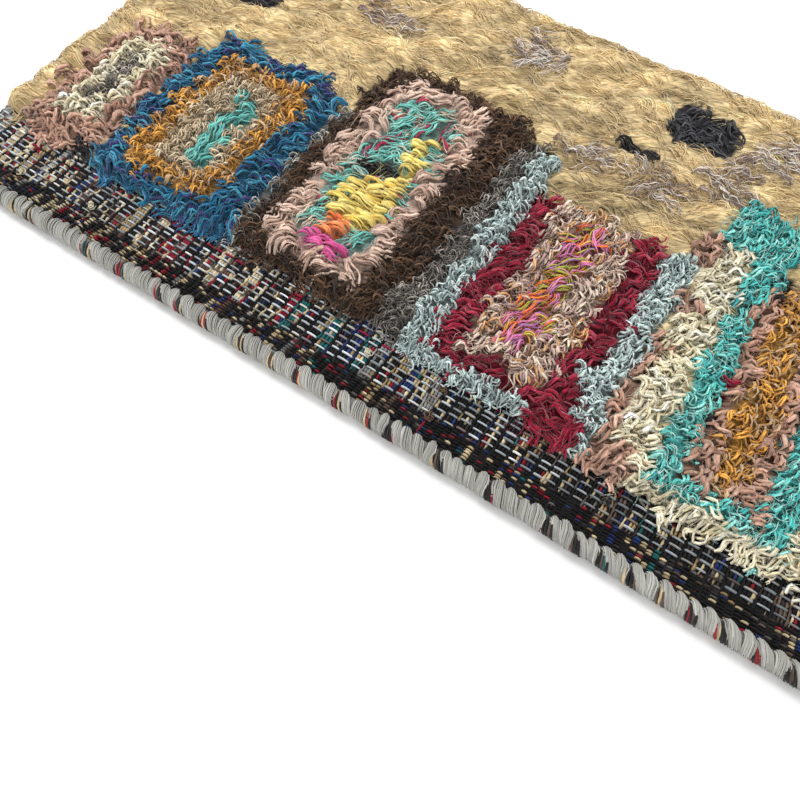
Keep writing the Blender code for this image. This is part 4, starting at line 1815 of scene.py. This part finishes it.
@dataclass
class SelvedgeBinding:
    """Grey overcast wraps round the edge, parted by coloured weft turns.

    Sizes are in millimetres and open_angle in degrees: the turns are open
    towards the cloth by that much to each side.
    """

    rug: RugFrame
    cut_inset: float = 5.0
    middle_across: float = 6.9
    middle_height: float = 6.0
    half_width: float = 5.9
    half_height: float = 5.2
    wrap_pitch: float = 8.2
    turns: int = 9
    yarn_girth: float = 1.15
    slant: float = 6.2
    pinch: float = 0.62
    open_angle: float = 18.0
    gap_half: float = 0.7
    lobe_jitter: float = 1.2
    wrap_steps: int = 15
    part_reach: float = 4.5
    cut_margin: float = 3.0
    turns_per_gap: int = 5
    turn_steps: int = 13
    turn_girth: float = 0.95
    cord_sides: int = 16
    cord_step: float = 2.5
    cord_inset: float = 1.5
    seed: int = 21

    def lobes(self) -> np.ndarray:
        """Place the wraps between the weft turns.

        Returns:
            Middles and widths of the lobes.
        """
        generator = np.random.default_rng(self.seed + 2)
        stops = [self.cut_inset, *GAP_PLACES, self.rug.length - self.cut_inset]
        found = []
        for start, end in zip(stops[:-1], stops[1:]):
            left = start + (self.gap_half if start != stops[0] else 0.0)
            right = end - (self.gap_half if end != stops[-1] else 0.0)
            count = max(1, round((right - left) / self.wrap_pitch))
            cuts = left + (right - left) * np.arange(count + 1) / count
            cuts[1:-1] += generator.uniform(-self.lobe_jitter, self.lobe_jitter, count - 1)
            found.extend(zip((cuts[:-1] + cuts[1:]) / 2, np.diff(cuts)))
        return np.array(found)

    def ring(
        self,
        middle: np.ndarray,
        spread: np.ndarray,
        swell: np.ndarray,
        inner: np.ndarray,
        tilt: np.ndarray,
        steps: int,
    ) -> np.ndarray:
        """Draw yarn turns round the edge, pinched where they pass the cloth.

        Args:
            middle: each turn's lobe middle.
            spread: how far the turn lies from that middle.
            swell: the turn's size against the roll's.
            inner: how much further the turn reaches on to the cloth.
            tilt: the turn's slant against the usual one.
            steps: points to a turn.

        Returns:
            Turns, steps and places.
        """
        degrees = np.linspace(self.open_angle, 360.0 - self.open_angle, steps)
        angle = np.radians(degrees)[None, :]
        outward = np.clip(np.sin(angle / 2), 0.0, 1.0) ** 0.8
        fan = self.pinch + (1.0 - self.pinch) * outward
        size = swell[:, None] * (0.86 + 0.14 * outward)
        across = self.middle_across + self.half_width * np.cos(angle) * size
        across = across + inner[:, None] * np.maximum(np.cos(angle), 0.0) ** 2
        height = self.middle_height + self.half_height * np.sin(angle) * size
        lean = self.slant * tilt[:, None] * (angle / np.pi - 1.0)
        along = middle[:, None] + spread[:, None] * fan + lean
        return np.stack(np.broadcast_arrays(along, across, height), axis=-1)

    def build_core(self) -> bpy.types.Object:
        """Build the edge cord that the wraps close round.

        Returns:
            The cord's piece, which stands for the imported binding.
        """
        sides = self.cord_sides
        end_along = self.rug.length - self.cut_inset + 0.1
        alongs = np.arange(self.cut_inset, end_along, self.cord_step)
        angle = np.linspace(0.0, 2 * np.pi, sides, endpoint=False)
        ring_across = self.middle_across + (self.half_width - self.cord_inset) * np.cos(angle)
        ring_height = self.middle_height + (self.half_height - self.cord_inset) * np.sin(angle)
        ring_places = list(zip(ring_across, ring_height))
        places = [(along, *place) for along in alongs for place in ring_places]
        faces = []
        for ring in range(len(alongs) - 1):
            for side in range(sides):
                here = ring * sides + side
                after = ring * sides + (side + 1) % sides
                faces.append((here, after, after + sides, here + sides))
        faces.append(tuple(range(sides - 1, -1, -1)))
        end = (len(alongs) - 1) * sides
        faces.append(tuple(range(end, end + sides)))
        metres = self.rug.to_metres(np.array(places))
        beside = np.abs(np.array(places)[:, :1] - GAP_PLACES[None, :]) - 0.5 * GAP_WIDTHS
        is_gap = beside.min(axis=1)[:, None] < 1.2
        tints = np.where(is_gap, linear(CORD_GAP_TONE), linear(CORD_TONE))
        mesh = tinted_mesh("binding_cord", metres, faces, tints)
        mesh.materials.append(yarn_material("binding_cord", MATT_WOOL))
        return link_piece("binding_cord", mesh)

    def wraps(self) -> Guides:
        """Wind every lobe of grey yarn.

        Returns:
            Guide lines of the grey turns.
        """
        generator = np.random.default_rng(self.seed)
        lobes = self.lobes()
        middle = np.repeat(lobes[:, 0], self.turns)
        width = np.repeat(lobes[:, 1], self.turns)
        place = np.tile(np.linspace(-0.5, 0.5, self.turns), len(lobes))
        spread = place * (width - self.yarn_girth * 0.5)
        size = np.repeat(generator.uniform(0.93, 1.07, len(lobes)), self.turns)
        swell = size * (0.94 + 0.1 * np.cos(place * np.pi))
        swell = swell + generator.uniform(-0.02, 0.02, len(middle))
        middle = middle + generator.uniform(-0.3, 0.3, len(middle))
        tilt = np.repeat(generator.uniform(0.7, 1.3, len(lobes)), self.turns)
        inner = 1.8 * np.sqrt(np.maximum(np.cos(place * np.pi), 0.0)) - 0.7
        inner = inner + np.repeat(generator.uniform(-0.8, 0.7, len(lobes)), self.turns)
        points = self.ring(middle, spread, swell, inner, tilt, self.wrap_steps)
        gaps = (middle + spread)[:, None] - GAP_PLACES[None, :]
        closest = np.abs(gaps).argmin(axis=1)
        nearest = gaps[np.arange(len(middle)), closest]
        fading = np.exp(-np.abs(nearest) / self.part_reach)
        parted = 0.48 * GAP_WIDTHS[closest] * np.sign(nearest) * fading
        outer = np.clip((self.middle_across - points[..., 1]) / self.half_width, 0.0, 1.0)
        points[..., 0] += parted[:, None] * outer**0.7
        last = self.rug.length - self.cut_margin
        points[..., 0] = np.clip(points[..., 0], self.cut_margin, last)
        points[..., 2] = np.maximum(points[..., 2], self.yarn_girth * 0.6)
        girths = np.full(points.shape[:2], self.yarn_girth / 2)
        girths = girths * generator.uniform(0.85, 1.1, (len(middle), 1))
        tone = pick_tones(WRAP_TONES, len(middle), generator)[:, None, :]
        return Guides(points, girths, tone * np.ones((1, points.shape[1], 1)))

    def weft_turns(self) -> Guides:
        """Turn coloured wefts round the edge in each gap between wraps.

        Returns:
            Guide lines of the coloured turns.
        """
        generator = np.random.default_rng(self.seed + 1)
        middle = np.repeat(GAP_PLACES, self.turns_per_gap)
        place = np.tile(np.linspace(-0.5, 0.5, self.turns_per_gap), len(WEFT_GAPS))
        spread = place * (np.repeat(GAP_WIDTHS, self.turns_per_gap) + 1.2)
        swell = generator.uniform(0.94, 1.04, len(middle))
        tilt = generator.uniform(0.8, 1.2, len(middle))
        points = self.ring(middle, spread, swell, -2.2 + 0 * swell, tilt, self.turn_steps)
        aside = points[..., 1] - self.middle_across
        sink = 0.9 - 0.12 * np.clip(aside / self.half_width, -1.0, 1.0)
        points[..., 1] = self.middle_across + aside * sink
        points[..., 2] = self.middle_height + (points[..., 2] - self.middle_height) * sink
        points[..., 2] = np.maximum(points[..., 2], 0.9)
        girths = np.full(points.shape[:2], self.turn_girth) * (sink - 0.05) ** 2
        tone = pick_tones(TURN_TONES, len(middle), generator)[:, None, :]
        return Guides(points, girths, tone * np.ones((1, points.shape[1], 1)))

    def build(self) -> list[bpy.types.Object]:
        """Build the cord, the grey wraps and the weft turns.

        Returns:
            The three pieces.
        """
        core = self.build_core()
        slot = "selvedge_binding"
        wraps = spin_piece("binding_wraps", [self.wraps()], WRAP_YARN, self.rug)
        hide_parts(slot)
        guides = [self.weft_turns()]
        turns = spin_piece("binding_weft_turns", guides, MATT_WOOL, self.rug)
        return [core, wraps, turns]


# The soft lamps: name, place and side in metres, power in watts.
LAMPS = (
    ("key", (-0.9, 0.5, 1.6), 0.9, 26.0),
    ("fill", (1.1, -0.9, 1.4), 1.4, 12.0),
)


@dataclass(frozen=True)
class Studio:
    """The plain floor, the soft light and the camera, in metres."""

    camera_place: tuple[float, float, float] = (0.1585, -0.3171, 0.3768)
    camera_heading: float = -33.3
    camera_tilt: float = 63.77
    lens: float = 31.5
    sensor: float = 36.0
    near_clip: float = 0.01
    floor_size: float = 6.0
    floor_drop: float = 0.0002
    floor_tone: float = 0.9
    sky: float = 0.55

    def aim(self) -> Matrix:
        """Work out the camera's turn, level with the horizon.

        Returns:
            The turn.
        """
        heading = math.radians(self.camera_heading)
        tilt = math.radians(self.camera_tilt)
        forward = Vector((
            math.sin(heading) * math.cos(tilt),
            math.cos(heading) * math.cos(tilt),
            -math.sin(tilt),
        ))
        return forward.to_track_quat("-Z", "Y").to_matrix().to_4x4()

    def place_camera(self) -> None:
        """Set the camera where the close-up was taken from."""
        data = bpy.data.cameras.new("camera")
        data.lens = self.lens
        data.sensor_width = self.sensor
        data.sensor_fit = "HORIZONTAL"
        data.clip_start = self.near_clip
        camera = bpy.data.objects.new("camera", data)
        camera.matrix_world = Matrix.Translation(Vector(self.camera_place)) @ self.aim()
        bpy.context.scene.collection.objects.link(camera)
        bpy.context.scene.camera = camera

    def lay_floor(self) -> None:
        """Lay a plain pale floor under the rug."""
        half = self.floor_size / 2
        mesh = bpy.data.meshes.new("floor")
        corners = [(-half, -half, 0), (half, -half, 0), (half, half, 0), (-half, half, 0)]
        mesh.from_pydata(corners, [], [(0, 1, 2, 3)])
        material = bpy.data.materials.new("floor")
        material.use_nodes = True
        shader = material.node_tree.nodes["Principled BSDF"]
        tone = (self.floor_tone, self.floor_tone, self.floor_tone, 1.0)
        set_inputs(shader, {"Base Color": tone, "Roughness": 0.9, "Specular IOR Level": 0.1})
        mesh.materials.append(material)
        floor = bpy.data.objects.new("floor", mesh)
        floor.location.z = -self.floor_drop
        bpy.context.scene.collection.objects.link(floor)

    def add_lamp(
        self, name: str, place: tuple[float, float, float], size: float, power: float
    ) -> None:
        """Hang a square soft lamp that points at the rug.

        Args:
            name: the lamp's name.
            place: where it hangs.
            size: its side.
            power: its power in watts.
        """
        data = bpy.data.lights.new(name, "AREA")
        data.shape = "SQUARE"
        data.size = size
        data.energy = power
        lamp = bpy.data.objects.new(name, data)
        turn = (-Vector(place)).to_track_quat("-Z", "Y").to_matrix().to_4x4()
        lamp.matrix_world = Matrix.Translation(Vector(place)) @ turn
        bpy.context.scene.collection.objects.link(lamp)

    def light(self) -> None:
        """Light the rug as a pale studio does."""
        world = bpy.data.worlds.new("studio")
        world.use_nodes = True
        background = world.node_tree.nodes["Background"]
        set_inputs(background, {"Color": (1, 1, 1, 1), "Strength": self.sky})
        bpy.context.scene.world = world
        for name, place, size, power in LAMPS:
            self.add_lamp(name, place, size, power)
        bpy.context.scene.view_settings.view_transform = "Standard"

    def build(self) -> None:
        """Set up the camera, the floor and the light."""
        self.place_camera()
        self.lay_floor()
        self.light()


def main() -> None:
    """Build the studio and dress the rug, piece by piece."""
    logging.basicConfig(level=logging.INFO, format="%(name)s %(message)s")
    Studio().build()
    rug = RugFrame.measured()
    ground = relief_of("ground_weave", rug)
    pile = relief_of("pile", rug)
    total = 0
    for part in (WovenGround(rug, ground), SelvedgeBinding(rug), ShagPile(rug, pile, ground)):
        pieces = part.build()
        for piece in pieces:
            piece.data.calc_loop_triangles()
        count = sum(len(piece.data.loop_triangles) for piece in pieces)
        total += count
        LOG.info("%s: %d pieces, %d triangles", type(part).__name__, len(pieces), count)
    LOG.info("all: %d triangles", total)


if __name__ == "__main__":
    main()
